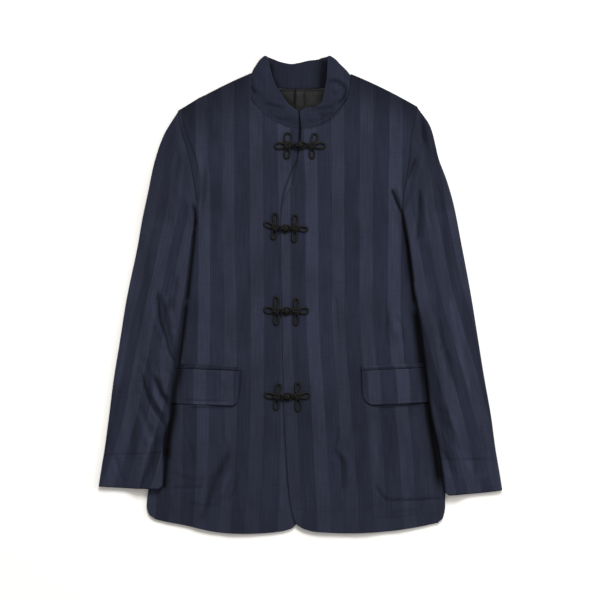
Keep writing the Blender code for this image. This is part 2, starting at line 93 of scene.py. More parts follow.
# side x, side y, centre edge x, centre edge y, sag of the middle, width that the sleeve covers
FRONT_RIGHT = table("""
    -240 -371.5 -29 -391 -12 5; -250.5 -362.5 -14 -386 -12 9; -254 -349 -5 -373 -10 15
    -250 -310 -4 -335 -6 27; -247 -260 -3 -270 -2 22; -243 -190 -3 -190 0 27; -239 -110 -3 -110 0 36
    -235 -20 -3 -20 0 44; -233 60 -3 60 0 53; -232 104 -3 106 0 58; -212 109 -3 116 0 38
    -190 112 -3 127 0 17; -181 119 -3 140 0 9; -177 131 -3 160 0 5; -172.5 151 -3 188 0 1
    -174 168 -3 214 0 0; -178 194 -2.3 244 0 0; -182 218 -1.8 272.5 0 0; -187 239 -22 277.5 0 0
    -192 254 -45 287.5 0 0; -196 267 -65 303.5 0 0; -199.5 283 -82.2 327 0 0; -202.5 303.5 -80 366.5 3 0""")
FRONT_LEFT = table("""
    227 -377 20 -391.5 -8.5 5; 235 -369 3 -386 -10 8; 239 -350 -9 -376 -10 10; 239 -330 -16 -350 -7 8
    238 -290 -21 -305 -3 8; 236 -240 -25 -245 0 14; 234 -180 -28 -180 0 20; 231 -100 -29.5 -100 0 29
    229 -20 -31 -20 0 38; 227 50 -33 50 0 45; 226 104 -33 112 0 51; 206 109 -32.5 128 0 31
    184 112 -31 145 0 10; 175 119 -24 162 0 7; 173 131 -15 178 0 5; 169.5 151 -9 200 0 1
    171 169.5 -5 224 0 0; 176 194 -1.2 249 0 0; 179 218 0.9 272.5 0 0; 180 237 20 277 0 0
    181 252 43 287 0 0; 183.5 268 61 303 0 0; 187.5 287 80 333 0 0; 193.5 310 83 364.5 2.5 0""")
# left x, left y, right x, right y, share of the hem's sag, share of the shoulder line's shape
BACK = table("""
    -248 -359 236 -356 1 0; -252 -347 239 -343 0.8 0; -250 -310 238 -300 0.4 0; -246 -240 236 -240 0 0
    -240 -130 232 -130 0 0; -235 -20 229 -20 0 0; -233 60 227 50 0 0; -232 104 226 104 0 0
    -212 109 206 109 0 0; -190 112 184 112 0 0; -174 118 168 118 0 0; -171 130 167 130 0 0
    -171.5 150 168.5 150 0 0.02; -174 168 171 169.5 0 0.08; -178 194 176 194 0 0.2; -182 218 179 218 0 0.35
    -187 239 180 237 0 0.5; -196 267 183.5 268 0 0.75; -202.5 303.5 193.5 310 0 1""")
BACK_HEM_SAG = -10.0
BACK_TOP = table("""
    -202.5 303.5; -168 325; -101 356; -80 366; -58 346; -30 341; 0 340; 30 341; 58 346; 83 364; 98 357
    162 327.5; 193.5 310""")
# outer fold x, y, inner fold x, y, thickness
SLEEVE_RIGHT = table("""
    -203 303.5 -172 150 5; -227 261 -174 139 5.6; -242 216 -174.5 128 6.2; -252 167 -176 110 6.8
    -261 125 -180 91 7; -269 80 -182 70 7; -287.5 -9 -191 -9 7; -298 -75 -199 -75 7.4
    -308.5 -140 -209 -135 7.4; -317 -207 -218 -212 7; -323.5 -255 -227 -250 7; -329.5 -291 -226 -292 6.8
    -333.5 -317 -227.5 -324 6.4""")
SLEEVE_LEFT = table("""
    194 310 169 150 5; 215.5 275 169 141 5.6; 228.5 224 169 130 6.2; 241 190 171 116 6.8; 253 148 174 100 7
    265 88 178 80 7; 281.5 0 188 2 7; 291.5 -62 198 -60 7.4; 303 -134 207 -134 7.4; 315 -202 215.5 -202 7
    322 -254 227 -252 7; 329.5 -298 234 -300 6.8; 333.5 -323.5 238.5 -335 6.4""")
# neck edge x, y, free edge x, y
COLLAR_RIGHT = table("""
    -1.7 273.4 -2.7 302.2; -22 278.4 -13 309; -45 288.5 -22 317; -64.5 304.5 -31 331; -80.6 328 -40.5 345
    -80.9 341 -47 362""")
COLLAR_LEFT = table("""
    0.9 273.4 -2.1 302.4; 19.5 278 9 308; 42.3 288 23 310; 60 304 34 317; 77 330 39 335; 80.2 344 43 357""")
FOLD_RIGHT = table("""
    -82.6 358; -78.6 371; -74.4 377.6; -67.4 387.8; -58.5 395.2""")
FOLD_LEFT = table("""
    85 359; 76.5 370; 66 380.2; 57 389.4; 48 395.2""")
COLLAR_BACK = table("""
    -63 349.5 -46 389.5; -40 342.6 -32 384.3; -20 341 -15 381.2; 0 340.6 -1.5 383.2; 20 341 14 386.8
    40 342.6 28 388.4; 66 350.8 36.3 391.5""")
# half width, y
LINING = table("""
    50 340; 44 325; 36 312; 28 303""")
PLEAT_HALF, PLEAT_HEIGHT = 8.5, 1.2
# outer x, y, inner x, y, drop, radius of the lower inner corner
FLAP_RIGHT = (-232, -121.5, -101, -126, 57.5, 11)
FLAP_LEFT = (226, -120, 101, -126, 57, 19)
JET_HEIGHT = 7.5
FLAP_SLANT = 2.5       # how much shorter a flap is at its foot
KNOTS = ((-0.3, 246.4), (-24.8, 108.7), (-23.3, -27.4), (-21.8, -168.7))
HALVES = (
    (1, "knot", -21, 245.8, 0, 0, -5), (1, "loop", 19, 245.8, 0, -18, 0),
    (2, "knot", -41.3, 111, -20, 0, -12), (2, "loop", -8.7, 110.2, -7, 0, -6),
    (3, "knot", -39.8, -26.5, -5, 0, 0), (3, "loop", -6.8, -26.5, 0, 0, 0),
    (4, "knot", -38.4, -168.2, -8, -7, -7), (4, "loop", -4.1, -167.7, 6, 2, 1))
# How far the upper, outer and lower petal of each half reach, and how wide they are
PETALS = (
    ((23, 14.4), (23, 12.4), (22.4, 11.4)), ((22.6, 12), (23.6, 12), (22.6, 10.8)),
    ((25.4, 10.8), (21.4, 10.6), (21, 10.6)), ((23.4, 11.6), (22.2, 10.8), (24.4, 10.6)),
    ((25, 10.6), (21.6, 12.4), (24.2, 10.8)), ((22, 10.6), (21.4, 12.6), (25.4, 10)),
    ((23.2, 11), (22.2, 11.4), (23.6, 10.8)), ((24.2, 11.6), (21.2, 12), (26, 11.6)))
# The broad folds: ends, half width, height
FOLDS = table("""
    -156 205 -162 130 12 1.3; -130 -300 -160 -380 16 1.2; -95 -260 -110 -385 16 -0.9; 160 170 150 90 13 1.3
    60 -260 72 -385 15 -1; 100 -230 118 -385 18 1.1; -232 0 -215 -120 12 -1.5; -258 10 -240 -115 13 1.4
    -258 -150 -225 -215 12 -1.3; 208 250 203 95 12 1.3; 240 20 262 -150 14 1.2; 262 0 285 -160 12 -1.2""")

# Creases in grid steps: half width in millimetres, height in millimetres, how much steeper the
# left side is, then the points
CREASES_RIGHT = strokes("""
    4.5 -1.3 0.3: 204.6 146, 203 177, 200.8 198.5, 198.5 216; 5.5 1.1 0.2: 207.5 165, 205.6 200, 201 221
    6 -0.5 0: 212.5 198, 212 226, 211.5 256; 5 0.5 0: 218 214, 217 240, 218 270
    6 -1.2 0.2: 225.6 462, 211 486, 201.6 518; 6 0.8 0: 229 476, 222 490, 215 504
    7 0.9 -0.2: 214 464, 205 482, 199 500, 196 514; 8 -0.6 0.1: 251 470, 247 495, 247 520
    9 0.6 0: 268 430, 265 470, 266 515; 9 -0.5 0: 282 420, 280 462, 281 500
    8 -0.5 0: 190 300, 191 335, 188 360; 10 0.5 0: 232 260, 236 310, 234 356
    7 -0.4 0.2: 246 215, 249 262, 247 300; 8 0.45 0: 262 172, 263 215, 261 258
    6 -0.5 0.1: 222 122, 218 150, 219 182; 9 0.5 0: 240 108, 236 136, 238 170
    4 -0.5 0.3: 183 430, 190 452, 194 470; 5 0.6 0: 182 446, 186 466, 188 484
    3.2 -0.45 0: 176 489, 192 487.5, 209 487; 4 -0.4 0.2: 232 408, 229 424, 231 444
    5 0.35 0: 214 408, 216 430, 213 452""")
CREASES_LEFT = strokes("""
    4 -1.4 0.3: 390.5 188, 396 201, 402 216; 5 1.1 -0.2: 397 184, 402 197, 406.5 210
    5 -0.6 0: 386 214, 388 236, 386 262; 6.5 0.6 0.1: 397 228, 395 262, 398 296
    4 -1 0.2: 333 449, 340 458, 343.4 470, 343 486, 341.5 505
    4.5 0.8 -0.2: 338 447, 346 457, 349.4 470, 349 488; 3.5 0.5 0: 329 456, 335 466, 337 482
    5 -0.7 0.2: 388.5 298, 386 320, 390 340, 387 362; 4 0.6 0: 394 304, 392 322, 395.5 342
    3 -0.45 0.2: 396 318, 402 330, 403 350; 8 -0.6 0: 322 262, 321 306, 324 352
    9 0.6 0: 350 292, 348 336, 352 380; 7 -0.4 0: 337 300, 336 342, 338 384
    9 -0.5 0.1: 366 160, 364 200, 368 246; 8 0.5 0: 352 128, 349 166, 352 204
    6 -0.5 0: 378 116, 382 140, 386 162; 6 0.6 0.1: 320 402, 318 426, 322 452
    7 -0.6 0: 312 408, 311 440, 314 480; 9 0.7 0: 362 412, 366 450, 364 500
    7 -0.6 0.1: 376 410, 378 446, 376 486; 9 0.6 0: 404 412, 410 450, 415 500
    6 -0.5 0: 420 430, 426 462, 430 494; 3 -0.6 0.1: 375.5 486, 381 495, 387.4 501, 398 500
    2.6 -0.45 0: 388 500.5, 415 500, 444 498; 5 0.4 0: 384 512, 404 508, 426 509""")
CREASES_SLEEVE_RIGHT = strokes("""
    5 -2 0.3: 157.5 286, 160.2 318.7, 165.8 335, 169.7 351, 177 364; 5 1.5 -0.2: 165 292, 169.5 318, 174 340
    4.5 1.4 0.2: 164.5 350, 160.5 368, 163.5 386, 170 402; 3.5 -1.1 0: 176 274, 173 296, 169.5 318
    4.5 0.9 0: 181 268, 178.5 292, 176.5 312; 4.5 -1.6 0.3: 142.6 379, 148 396, 154.5 409, 166.5 427
    4 1.3 -0.2: 150 385, 156 400, 164.5 416; 3.5 -1.4 0.2: 152.5 374, 160 392, 169.5 408
    5 0.8 0: 148 352, 152.5 372, 158 386; 5 -1 0.2: 139 402, 146 424, 154 442
    5 1.1 0: 152 436, 147 452, 141 468; 5 -1.3 0: 159 433, 151 464, 139 488
    4 0.8 0: 165 440, 160 462, 154 482; 6 -0.7 0: 130 410, 131 440, 127 474
    7 0.6 0: 135 340, 129 374, 127 408; 6 -0.6 0.2: 147 262, 142 300, 137 338
    7 0.7 0: 158 210, 153 246, 150 284; 6 -0.8 0.1: 186 196, 181 222, 177 250
    5 0.8 0: 192 176, 190 204, 185 226; 5 -0.7 0: 178 152, 174 178, 171 206
    5 0.6 0.2: 187 132, 182 152, 180 172; 3.4 -0.5 0: 120 300, 116 326, 113 350
    4 -0.6 0.2: 112 452, 118 470, 122 484""")
CREASES_SLEEVE_LEFT = strokes("""
    4 -1.1 0.2: 418.8 113, 421.3 128, 422.3 144; 4.5 0.9 0: 425 118, 428 134, 430 152
    4 -1.3 0.2: 416 158, 412 168, 408.4 179; 5 -1.2 0: 420 188, 419.2 214, 417 242
    5 0.9 0: 425 184, 426 216, 424.5 248; 6 -0.8 0.1: 436 178, 441 214, 443 250
    7 0.7 0: 447 220, 453 262, 457 304; 6 -0.7 0: 430 262, 435 300, 437 336
    5 0.7 0: 427 322, 433 352, 434 382; 5 -0.9 0.2: 440 330, 444 358, 449 386
    6 0.8 0: 450 340, 457 378, 462 412; 6 -0.6 0: 464 340, 470 380, 473 420
    4.5 -0.9 0.1: 436 400, 442 424, 450 444; 4.5 0.9 -0.2: 444 398, 451 420, 458 438
    4.5 -1 0: 440 446, 447 462, 451 480; 5 0.8 0: 448 440, 456 460, 459 484
    6 -0.7 0: 470 446, 473 468, 474 488; 4 0.6 0: 482 420, 486 446, 489 470""")
# Hollows on the sides that lie down: half width, depth and points in millimetres
HOLLOWS_BACK = strokes("""
    14 0.9: -150 180, -138 96, -142 20; 12 0.8: 138 170, 150 90, 146 6; 18 0.7: -40 -40, -52 -150, -46 -300
    16 0.8: 62 -90, 74 -210, 68 -340; 13 0.6: -118 -120, -126 -240, -140 -340
    12 0.7: 150 -200, 164 -290, 176 -350; 11 0.6: 20 230, 26 130, 18 20; 12 0.5: -60 290, -66 210, -58 140
    9 0.7: -196 -20, -204 -120, -212 -230; 10 0.6: 196 10, 204 -80, 208 -170
    8 0.5: 100 300, 92 240, 96 180""")
HOLLOWS_SLEEVE_RIGHT = strokes("""
    8 1.2: -252 90, -262 20, -268 -50; 7 1: -236 -60, -252 -130, -262 -190
    9 1.1: -290 -140, -292 -210, -300 -280; 6 0.9: -246 -210, -262 -250, -270 -292
    7 0.8: -222 180, -232 130, -236 80""")
HOLLOWS_SLEEVE_LEFT = strokes("""
    8 1.1: 238 120, 250 40, 256 -30; 7 1.2: 262 -80, 270 -150, 284 -210; 9 1: 238 -150, 246 -220, 262 -280
    6 0.9: 296 -190, 302 -240, 312 -292; 7 0.8: 214 200, 222 150, 228 100""")

# Light stripes of each front in grid steps: y, then the x of stripes number 0, 1, 2 ...
STRIPES_RIGHT = table("""
    60 175 201 228 255 283 311; 134 175.5 201.5 227.5 256 284 311.5; 200 178 205 227.5 256.5 285.5 313
    300 179 204 230 257 287 314; 398 177 203 231 256.5 288 315; 460 177 202.5 229 255.5 288 316
    508 175 200 225.5 252 287 317; 560 171 197 222 248 286 318""")
STRIPES_LEFT = table("""
    60 282 308 337 367 397 423; 134 283 310 337.5 367 396.5 423; 200 284 312 338 366 395.5 422
    300 284 312.5 338 366 394.5 421; 350 285.5 314.5 340 368.5 397.5 424; 400 289 318 344 372 401 428
    450 292 320.5 348 376 406 433; 500 294 323.5 351 379.5 409 437; 560 296 326 354 384 413 443""")
STRIPES_SLEEVE_RIGHT = table("""
    100 161 184 208 232; 152 157 179.5 202 225; 180 155 177 199.5 222; 209 150.5 173.3 196 219
    237 145 166.6 189 211; 265 139 161 183 205; 293 132 154.5 178 201; 332 124 146 170.5 194
    360 118 140.5 166 190; 389 112.5 135.5 161 185; 417 106.5 130 154 178; 440 100 123 147 171
    459 94 117.5 141.5 166; 490 83 107 132 157""")
STRIPES_SLEEVE_LEFT = table("""
    100 362 387 411 434; 150 371 395 419 442; 187 379 403 427 449; 207 381 405 429 451.5
    227 385.5 409.5 433.7 456.5; 247 389 413 437.3 460.5; 273 393 417 442 465.5; 297 398 422 447.7 471.5
    331 407 432 457.8 482; 380 420 446 472 497; 408 428 453.7 479.7 505; 423 431.5 457.5 483.6 509
    454 439 464.5 491 517; 490 448.5 474.5 501 527""")

ROLL_STEPS = (0.0, 0.35, 0.9, 1.7, 2.8)   # how the columns crowd towards a rolled edge
ROLL = 0.46            # radius of a rolled edge, as a share of the cloth's wall
REVEAL = 45.0          # how far the shell cloth turns in behind an edge
DEEPEST_FRONT, DEEPEST_SLEEVE, DEEPEST_COLLAR = -2.6, -3.4, -1.7   # how far a crease sinks at most


def spot(px, py):
    """A place of the view's grid in millimetres."""
    return (px - VIEW_X) * STEP, (VIEW_Y - py) * STEP


def smooth(value):
    """A soft step from 0 to 1."""
    value = np.clip(value, 0.0, 1.0)
    return value * value * (3 - 2 * value)


def bell(distance, width):
    """A rounded hill: 1 in its middle, and hardly anything at twice its width."""
    return np.exp(-(distance / width) ** 2)


def tapered(along, rate, start=0.0):
    """A strength that falls off at both ends of a line."""
    return smooth(rate * along + start) * smooth(rate * (1 - along) + start)


def joined(*parts):
    """Arrays side by side in a new last axis."""
    return np.stack(np.broadcast_arrays(*parts), axis=-1)


def norms(vectors):
    """The lengths of vectors, in a last axis of one."""
    return np.linalg.norm(vectors, axis=-1, keepdims=True)


def curve(keys, values, at):
    """A smooth run through rows of values at rising keys that never overshoots them."""
    keys, values, at = np.asarray(keys, float), np.asarray(values, float), np.asarray(at, float)
    flat = values.reshape(len(keys), -1)
    step = np.diff(keys)[:, None]
    slope = np.diff(flat, axis=0) / step
    tangent = np.empty_like(flat)
    tangent[0], tangent[-1] = slope[0], slope[-1]
    before, after = slope[:-1], slope[1:]
    both = before * after
    harmonic = 2 * both / np.where(both > 0, before + after, 1.0)
    tangent[1:-1] = np.where(both > 0, harmonic, 0.0)
    span = np.clip(np.searchsorted(keys, at, side="right") - 1, 0, len(keys) - 2)
    t = np.clip((at - keys[span]) / np.diff(keys)[span], 0, 1)[:, None]
    h = step[span]
    out = ((1 + 2 * t) * (1 - t) ** 2 * flat[span] + t * (1 - t) ** 2 * h * tangent[span]
           + t * t * (3 - 2 * t) * flat[span + 1] + t * t * (t - 1) * h * tangent[span + 1])
    return out.reshape((len(at),) + values.shape[1:])


def lengths_of(path):
    """How far along a path each of its points lies."""
    return np.concatenate(([0], np.cumsum(norms(np.diff(path, axis=0)))))


def finer(path, pieces=6):
    """A path of few points as a smooth one of many."""
    path = np.asarray(path, float)
    lengths = lengths_of(path)
    return curve(lengths, path, np.linspace(0, lengths[-1], pieces * (len(path) - 1) + 1))


def ruled(lines, share):
    """The places x and y at shares of the way between the two ends of lines."""
    return [lines[:, k:k + 1] + share * (lines[:, k + 2:k + 3] - lines[:, k:k + 1]) for k in (0, 1)]


def away(x, y, path):
    """Distance of points from a path, the side that they are on and how far along it they lie."""
    best, side, along = np.full(x.shape, 1e9), np.zeros(x.shape), np.zeros(x.shape)
    lengths = np.hypot(*np.diff(path, axis=0).T)
    start, total = 0.0, lengths.sum()
    for (x0, y0), (x1, y1), length in zip(path, path[1:], lengths):
        dx, dy = x1 - x0, y1 - y0
        t = np.clip(((x - x0) * dx + (y - y0) * dy) / length ** 2, 0, 1)
        distance = np.hypot(x - x0 - t * dx, y - y0 - t * dy)
        near = distance < best
        best = np.where(near, distance, best)
        side = np.where(near, np.sign(dx * (y - y0) - dy * (x - x0)), side)
        along = np.where(near, (start + t * length) / total, along)
        start += length
    return best, side, along


def wander(x, y, size_x, size_y, seed):
    """Soft random hills between -1 and 1."""
    lattice = np.random.default_rng(seed).uniform(-1, 1, (64, 64))
    u, v = x / size_x + 17.3, y / size_y + 9.1
    i, j = np.floor(u).astype(int), np.floor(v).astype(int)
    a, b = smooth(u - i), smooth(v - j)
    corner = lambda di, dj: lattice[(i + di) % 64, (j + dj) % 64]
    return ((1 - a) * (1 - b) * corner(0, 0) + a * (1 - b) * corner(1, 0)
            + (1 - a) * b * corner(0, 1) + a * b * corner(1, 1))


def creased(x, y, creases, seed, gain=1.0):
    """What a list of creases adds to a height."""
    total = np.zeros(x.shape)
    for number, (width, height, lean, *points) in enumerate(creases):
        path = finer([spot(*point) for point in points])
        reach = 3.5 * width
        inside = ((x > path[:, 0].min() - reach) & (x < path[:, 0].max() + reach)
                  & (y > path[:, 1].min() - reach) & (y < path[:, 1].max() + reach))
        distance, side, along = away(x[inside], y[inside], path)
        ragged = 1 + 0.35 * wander(along * 5, along * 0 + number, 1, 1, seed + number)
        ends = tapered(along, 3.2, 0.04)
        spread = width * ragged * (1 + lean * side)
        swell = bell(distance, spread) - 0.3 * bell(distance - 2.1 * spread, spread)
        total[inside] += gain * height * ends * (0.6 + 0.4 * ragged) * swell
    return total


def lifted(x, y, hollows):
    """How far the hollows raise a side that lies down."""
    total = np.zeros(x.shape)
    for width, depth, *points in hollows:
        distance, _, along = away(x, y, finer(points))
        total += depth * tapered(along, 3) * bell(distance, width)
    return total


def folded(x, y):
    """What the broad folds add to a height."""
    total = np.zeros(x.shape)
    for x0, y0, x1, y1, width, height in FOLDS:
        distance, _, along = away(x, y, np.array([(x0, y0), (x1, y1)], float))
        total += height * tapered(along, 4, 0.3) * bell(distance, width)
    return total


def uneven(x, y, seed):
    """The soft unevenness of washed linen that has been pressed by hand."""
    slow = 0.30 * wander(x + 0.1 * y, y, 34, 120, seed) + 0.22 * wander(x - 0.2 * y, y, 17, 64, seed + 1)
    quick = 0.09 * wander(x, y, 8, 23, seed + 2) + 0.035 * wander(x + y, y - x, 5, 7, seed + 3)
    return slow + quick


def reading(rows, column, y):
    """One column of a table of rows, read at heights y."""
    return np.interp(y, rows[:, 1], rows[:, column])


def plain_height(rows, x, y):
    """Height of a front without its creases, and how free it is to move there."""
    beside = np.abs(reading(rows, 0, y) - x) - reading(rows, 5, y)
    shoulder = np.array([rows[-1, 0:2], rows[-1, 2:4]])
    below = away(x, y, shoulder)[0]
    swell = smooth(beside / ROUNDING) * smooth(below / ROUNDING)
    height = EDGE_TOP + CROWN * swell + folded(x, y) * swell
    free = smooth((beside + 5) / 14) * smooth(below / 16)
    if rows is FRONT_RIGHT:
        share = smooth((-x - UNDERLAP_FLAT) / ROUNDING)
        lap = smooth((-x - 30) / 24)
        return UNDERLAP_TOP + (height - UNDERLAP_TOP) * share, free * lap
    share = smooth((x - OVERLAP_FLAT) / ROUNDING)
    lap = 0.22 + 0.78 * smooth((x - 6) / 30)
    return OVERLAP_TOP + (height - OVERLAP_TOP) * share, free * lap


def front_height(rows, x, y):
    """Height of a front's upper face."""
    x, y = np.asarray(x, float), np.asarray(y, float)
    height, free = plain_height(rows, x, y)
    creases, seed = (CREASES_RIGHT, 100) if rows is FRONT_RIGHT else (CREASES_LEFT, 200)
    crumpled = 1 + 0.8 * smooth((-100 - y) / 130)
    relief = creased(x, y, creases, seed, 2.0) + 1.6 * crumpled * uneven(x, y, seed + 50)
    return height + free * np.maximum(relief, DEEPEST_FRONT)


def body_side(x, y):
    """Where the body's side edge is, on the side that x is on."""
    y = np.minimum(y, UNDERARM)
    return np.where(x < 0, reading(FRONT_RIGHT, 0, y), reading(FRONT_LEFT, 0, y))


def sleeve_rest(x, y, into):
    """Height of a sleeve's underside: on the floor, or up on the body's side."""
    beside = np.maximum(0.0, np.abs(x) - np.abs(body_side(x, y)))
    above = 0.36 * np.maximum(0.0, y - 118)
    down = 1 - smooth((np.hypot(beside, above) - SLEEVE_NEAR) / (SLEEVE_FAR - SLEEVE_NEAR))
    return SLEEVE_REST * down * smooth((into - 8) / 46)


def stripes(dyed, x, y):
    """The number of the light stripe at each place, with its fraction."""
    px, py = x / STEP + VIEW_X, VIEW_Y - y / STEP
    count = dyed.shape[1] - 1
    places = np.moveaxis(curve(dyed[:, 0], dyed[:, 1:], py.ravel()).reshape(*py.shape, count), -1, 0)
    out = (px - places[0]) / (places[1] - places[0])
    for number in range(1, count):
        low = places[number]
        high = places[number + 1] if number + 1 < count else low + (low - places[number - 1])
        out = np.where(px >= low, number + (px - low) / (high - low), out)
    return out


def shaded(x, y, lines):
    """The share of the light that lines of darkness leave."""
    light = np.ones(x.shape)
    for width, strength, *points in lines:
        distance, _, along = away(x, y, finer([spot(*point) for point in points]))
        light *= 1 - strength * tapered(along, 9, 0.15) * bell(distance, width)
    return light


def crowded(width, count, high=True):
    """Steps from 0 to a width that crowd together at its rolled ends."""
    last = [width - step for step in reversed(ROLL_STEPS)] if high else [width]
    return np.concatenate((ROLL_STEPS[:-1], np.linspace(ROLL_STEPS[-1], last[0], count), last[1:]))


def normals(grid, closed):
    """The unit normals of a grid of points."""
    if closed:
        across = np.roll(grid, -1, axis=1) - np.roll(grid, 1, axis=1)
    else:
        across = np.gradient(grid, axis=1)
    along = np.gradient(grid, axis=0)
    normal = np.cross(across, along)
    return normal / np.maximum(norms(normal), 1e-9)


def rim_distance(grid, closed):
    """How far each point is from the nearest open rim, along the grid."""
    down = np.concatenate((np.zeros((1, grid.shape[1])),
                           np.cumsum(np.linalg.norm(np.diff(grid, axis=0), axis=2), axis=0)))
    distance = np.minimum(down, down[-1] - down)
    if not closed:
        over = np.concatenate((np.zeros((grid.shape[0], 1)),
                               np.cumsum(np.linalg.norm(np.diff(grid, axis=1), axis=2), axis=1)), axis=1)
        distance = np.minimum(distance, np.minimum(over, over[:, -1:] - over))
    return distance


def linked(name, mesh, finishes, grain, light):
    """A mesh as a piece of the jacket, with its finishes and what they read at each point."""
    for finish in finishes:
        mesh.materials.append(finish)
    attribute = mesh.attributes.new("grain", "FLOAT_VECTOR", "POINT")
    attribute.data.foreach_set("vector", grain.ravel())
    attribute = mesh.attributes.new("light", "FLOAT", "POINT")
    attribute.data.foreach_set("value", light.ravel())
    piece = bpy.data.objects.new(name, mesh)
    bpy.context.collection.objects.link(piece)
    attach(piece, "root")
    return piece


def shell(name, grid, wall, finishes, facts, closed=False, outward=1, reveal=REVEAL):
    """A cloth wall behind a grid of points in millimetres, its rims rolled.

    facts are the stripe number, the place across and along in millimetres and the light of each
    point. outward is -1 where the grid's own normals point into the cloth."""
    rows, columns = grid.shape[:2]
    normal = normals(grid, closed) * outward
    rim = rim_distance(grid, closed)
    turn = wall * ROLL * (1 - np.sqrt(1 - np.clip(1 - rim / (1.25 * wall), 0, 1) ** 2))[..., None]
    outer = grid - turn * normal
    inner = grid - (wall - turn) * normal
    points = np.concatenate((outer.reshape(-1, 3), inner.reshape(-1, 3))) * MM
    offset = rows * columns
    index = np.arange(offset).reshape(rows, columns)
    following = np.roll(index, -1, axis=1) if closed else index[:, 1:]
    here = index if closed else index[:, :-1]
    face = joined(here[:-1], following[:-1], following[1:], here[1:]).reshape(-1, 4)
    back = face[:, ::-1] + offset
    rims = [index[0], index[-1][::-1]]
    if closed:
        rims = [np.append(line, line[0]) for line in rims]
    else:
        rims += [index[::-1, 0], index[:, -1]]
    faces = [face, back]
    for line in rims:
        faces.append(joined(line[1:], line[:-1], line[:-1] + offset, line[1:] + offset))
    faces = np.concatenate(faces)
    if outward < 0:
        faces = faces[:, ::-1]
    mesh = bpy.data.meshes.new(name)
    mesh.vertices.add(len(points))
    mesh.vertices.foreach_set("co", points.ravel())
    mesh.loops.add(faces.size)
    mesh.loops.foreach_set("vertex_index", faces.ravel())
    mesh.polygons.add(len(faces))
    mesh.polygons.foreach_set("loop_start", np.arange(0, faces.size, 4))
    mesh.polygons.foreach_set("use_smooth", np.ones(len(faces), bool))
    if len(finishes) > 1:
        deep = (rim[:-1, :] if closed else rim[:-1, :-1]).reshape(-1) > reveal
        kinds = np.zeros(len(faces), int)
        kinds[len(face):2 * len(face)] = deep
        mesh.polygons.foreach_set("material_index", kinds)
    mesh.update(calc_edges=True)
    mesh.validate()
    *grain, light = (np.concatenate((fact.ravel(), fact.ravel())) for fact in facts)
    return linked(name, mesh, finishes, np.stack(grain, axis=-1), light)


# Materials

class Finish:
    """A cloth's or cord's material, and the nodes that work out what it looks like at a point."""

    def __init__(self, name, roughness, specular):
        self.material = bpy.data.materials.new(name)
        self.material.use_nodes = True
        self.tree = self.material.node_tree
        self.inputs = self.tree.nodes["Principled BSDF"].inputs
        for key, value in (("Roughness", roughness), ("Metallic", 0.0), ("Specular IOR Level", specular)):
            self.inputs[key].default_value = value

    def feed(self, sockets, values):
        """Set numbers on sockets, and link what other nodes give to them."""
        for socket, value in zip(sockets, values):
            if isinstance(value, (int, float)):
                socket.default_value = value
            elif isinstance(value, tuple):
                socket.default_value = (*value, 1.0)
            else:
                self.tree.links.new(value, socket)

    def work(self, operation, *values):
        node = self.tree.nodes.new("ShaderNodeMath")
        node.operation = operation
        self.feed(node.inputs, values)
        return node.outputs[0]

    def times(self, value, *others):
        for other in others:
            value = self.work("MULTIPLY", value, other)
        return value

    def plus(self, first, second):
        return self.work("ADD", first, second)

    def sine(self, value, pitch):
        return self.work("SINE", self.times(value, 2 * math.pi / pitch))

    def ranged(self, value, low, high, to_low, to_high):
        node = self.tree.nodes.new("ShaderNodeMapRange")
        node.interpolation_type = "SMOOTHSTEP"
        keys = ("Value", "From Min", "From Max", "To Min", "To Max")
        self.feed([node.inputs[key] for key in keys], (value, low, high, to_low, to_high))
        return node.outputs["Result"]

    def varied(self, cloud, to_low, to_high):
        """The usual run of a noise, from one value to another."""
        return self.ranged(cloud, NOISE_LOW, NOISE_HIGH, to_low, to_high)

    def vector(self, x, y, z=0.0):
        node = self.tree.nodes.new("ShaderNodeCombineXYZ")
        self.feed(node.inputs, (x, y, z))
        return node.outputs[0]

    def noise(self, place, detail=2.0, rough=0.5):
        node = self.tree.nodes.new("ShaderNodeTexNoise")
        keys = ("Vector", "Scale", "Detail", "Roughness")
        self.feed([node.inputs[key] for key in keys], (place, 1.0, detail, rough))
        return node.outputs["Fac"]

    def cloud(self, x, size_x, y, size_y, seed, detail=2.0, rough=0.5):
        """Noise that is finer where a size is larger."""
        return self.noise(self.vector(self.times(x, size_x), self.times(y, size_y), seed), detail, rough)

    def mixed(self, factor, first, second, kind="MIX"):
        node = self.tree.nodes.new("ShaderNodeMix")
        node.data_type = "RGBA"
        node.blend_type = kind
        sockets = [s for s in node.inputs if s.enabled and s.name in ("Factor", "A", "B")]
        self.feed(sockets, (factor, first, second))
        return next(s for s in node.outputs if s.enabled)

    def grain(self):
        """The stripe number, the place across and along, and the light at a point of the cloth."""
        grain, light = (self.tree.nodes.new("ShaderNodeAttribute") for _ in range(2))
        grain.attribute_name, light.attribute_name = "grain", "light"
        parts = self.tree.nodes.new("ShaderNodeSeparateXYZ")
        self.tree.links.new(grain.outputs["Vector"], parts.inputs[0])
        return (*parts.outputs, light.outputs["Fac"])

    def tint(self, colour, tone_and_light):
        """The shader's colour: one colour, times a tone that also holds the painted light and shade."""
        colour = self.mixed(1.0, colour, self.vector(tone_and_light, tone_and_light, tone_and_light), "MULTIPLY")
        self.tree.links.new(colour, self.inputs["Base Color"])

    def bump(self, height, strength, distance):
        node = self.tree.nodes.new("ShaderNodeBump")
        node.inputs["Strength"].default_value = strength
        node.inputs["Distance"].default_value = distance * MM
        self.tree.links.new(height, node.inputs["Height"])
        self.tree.links.new(node.outputs["Normal"], self.inputs["Normal"])


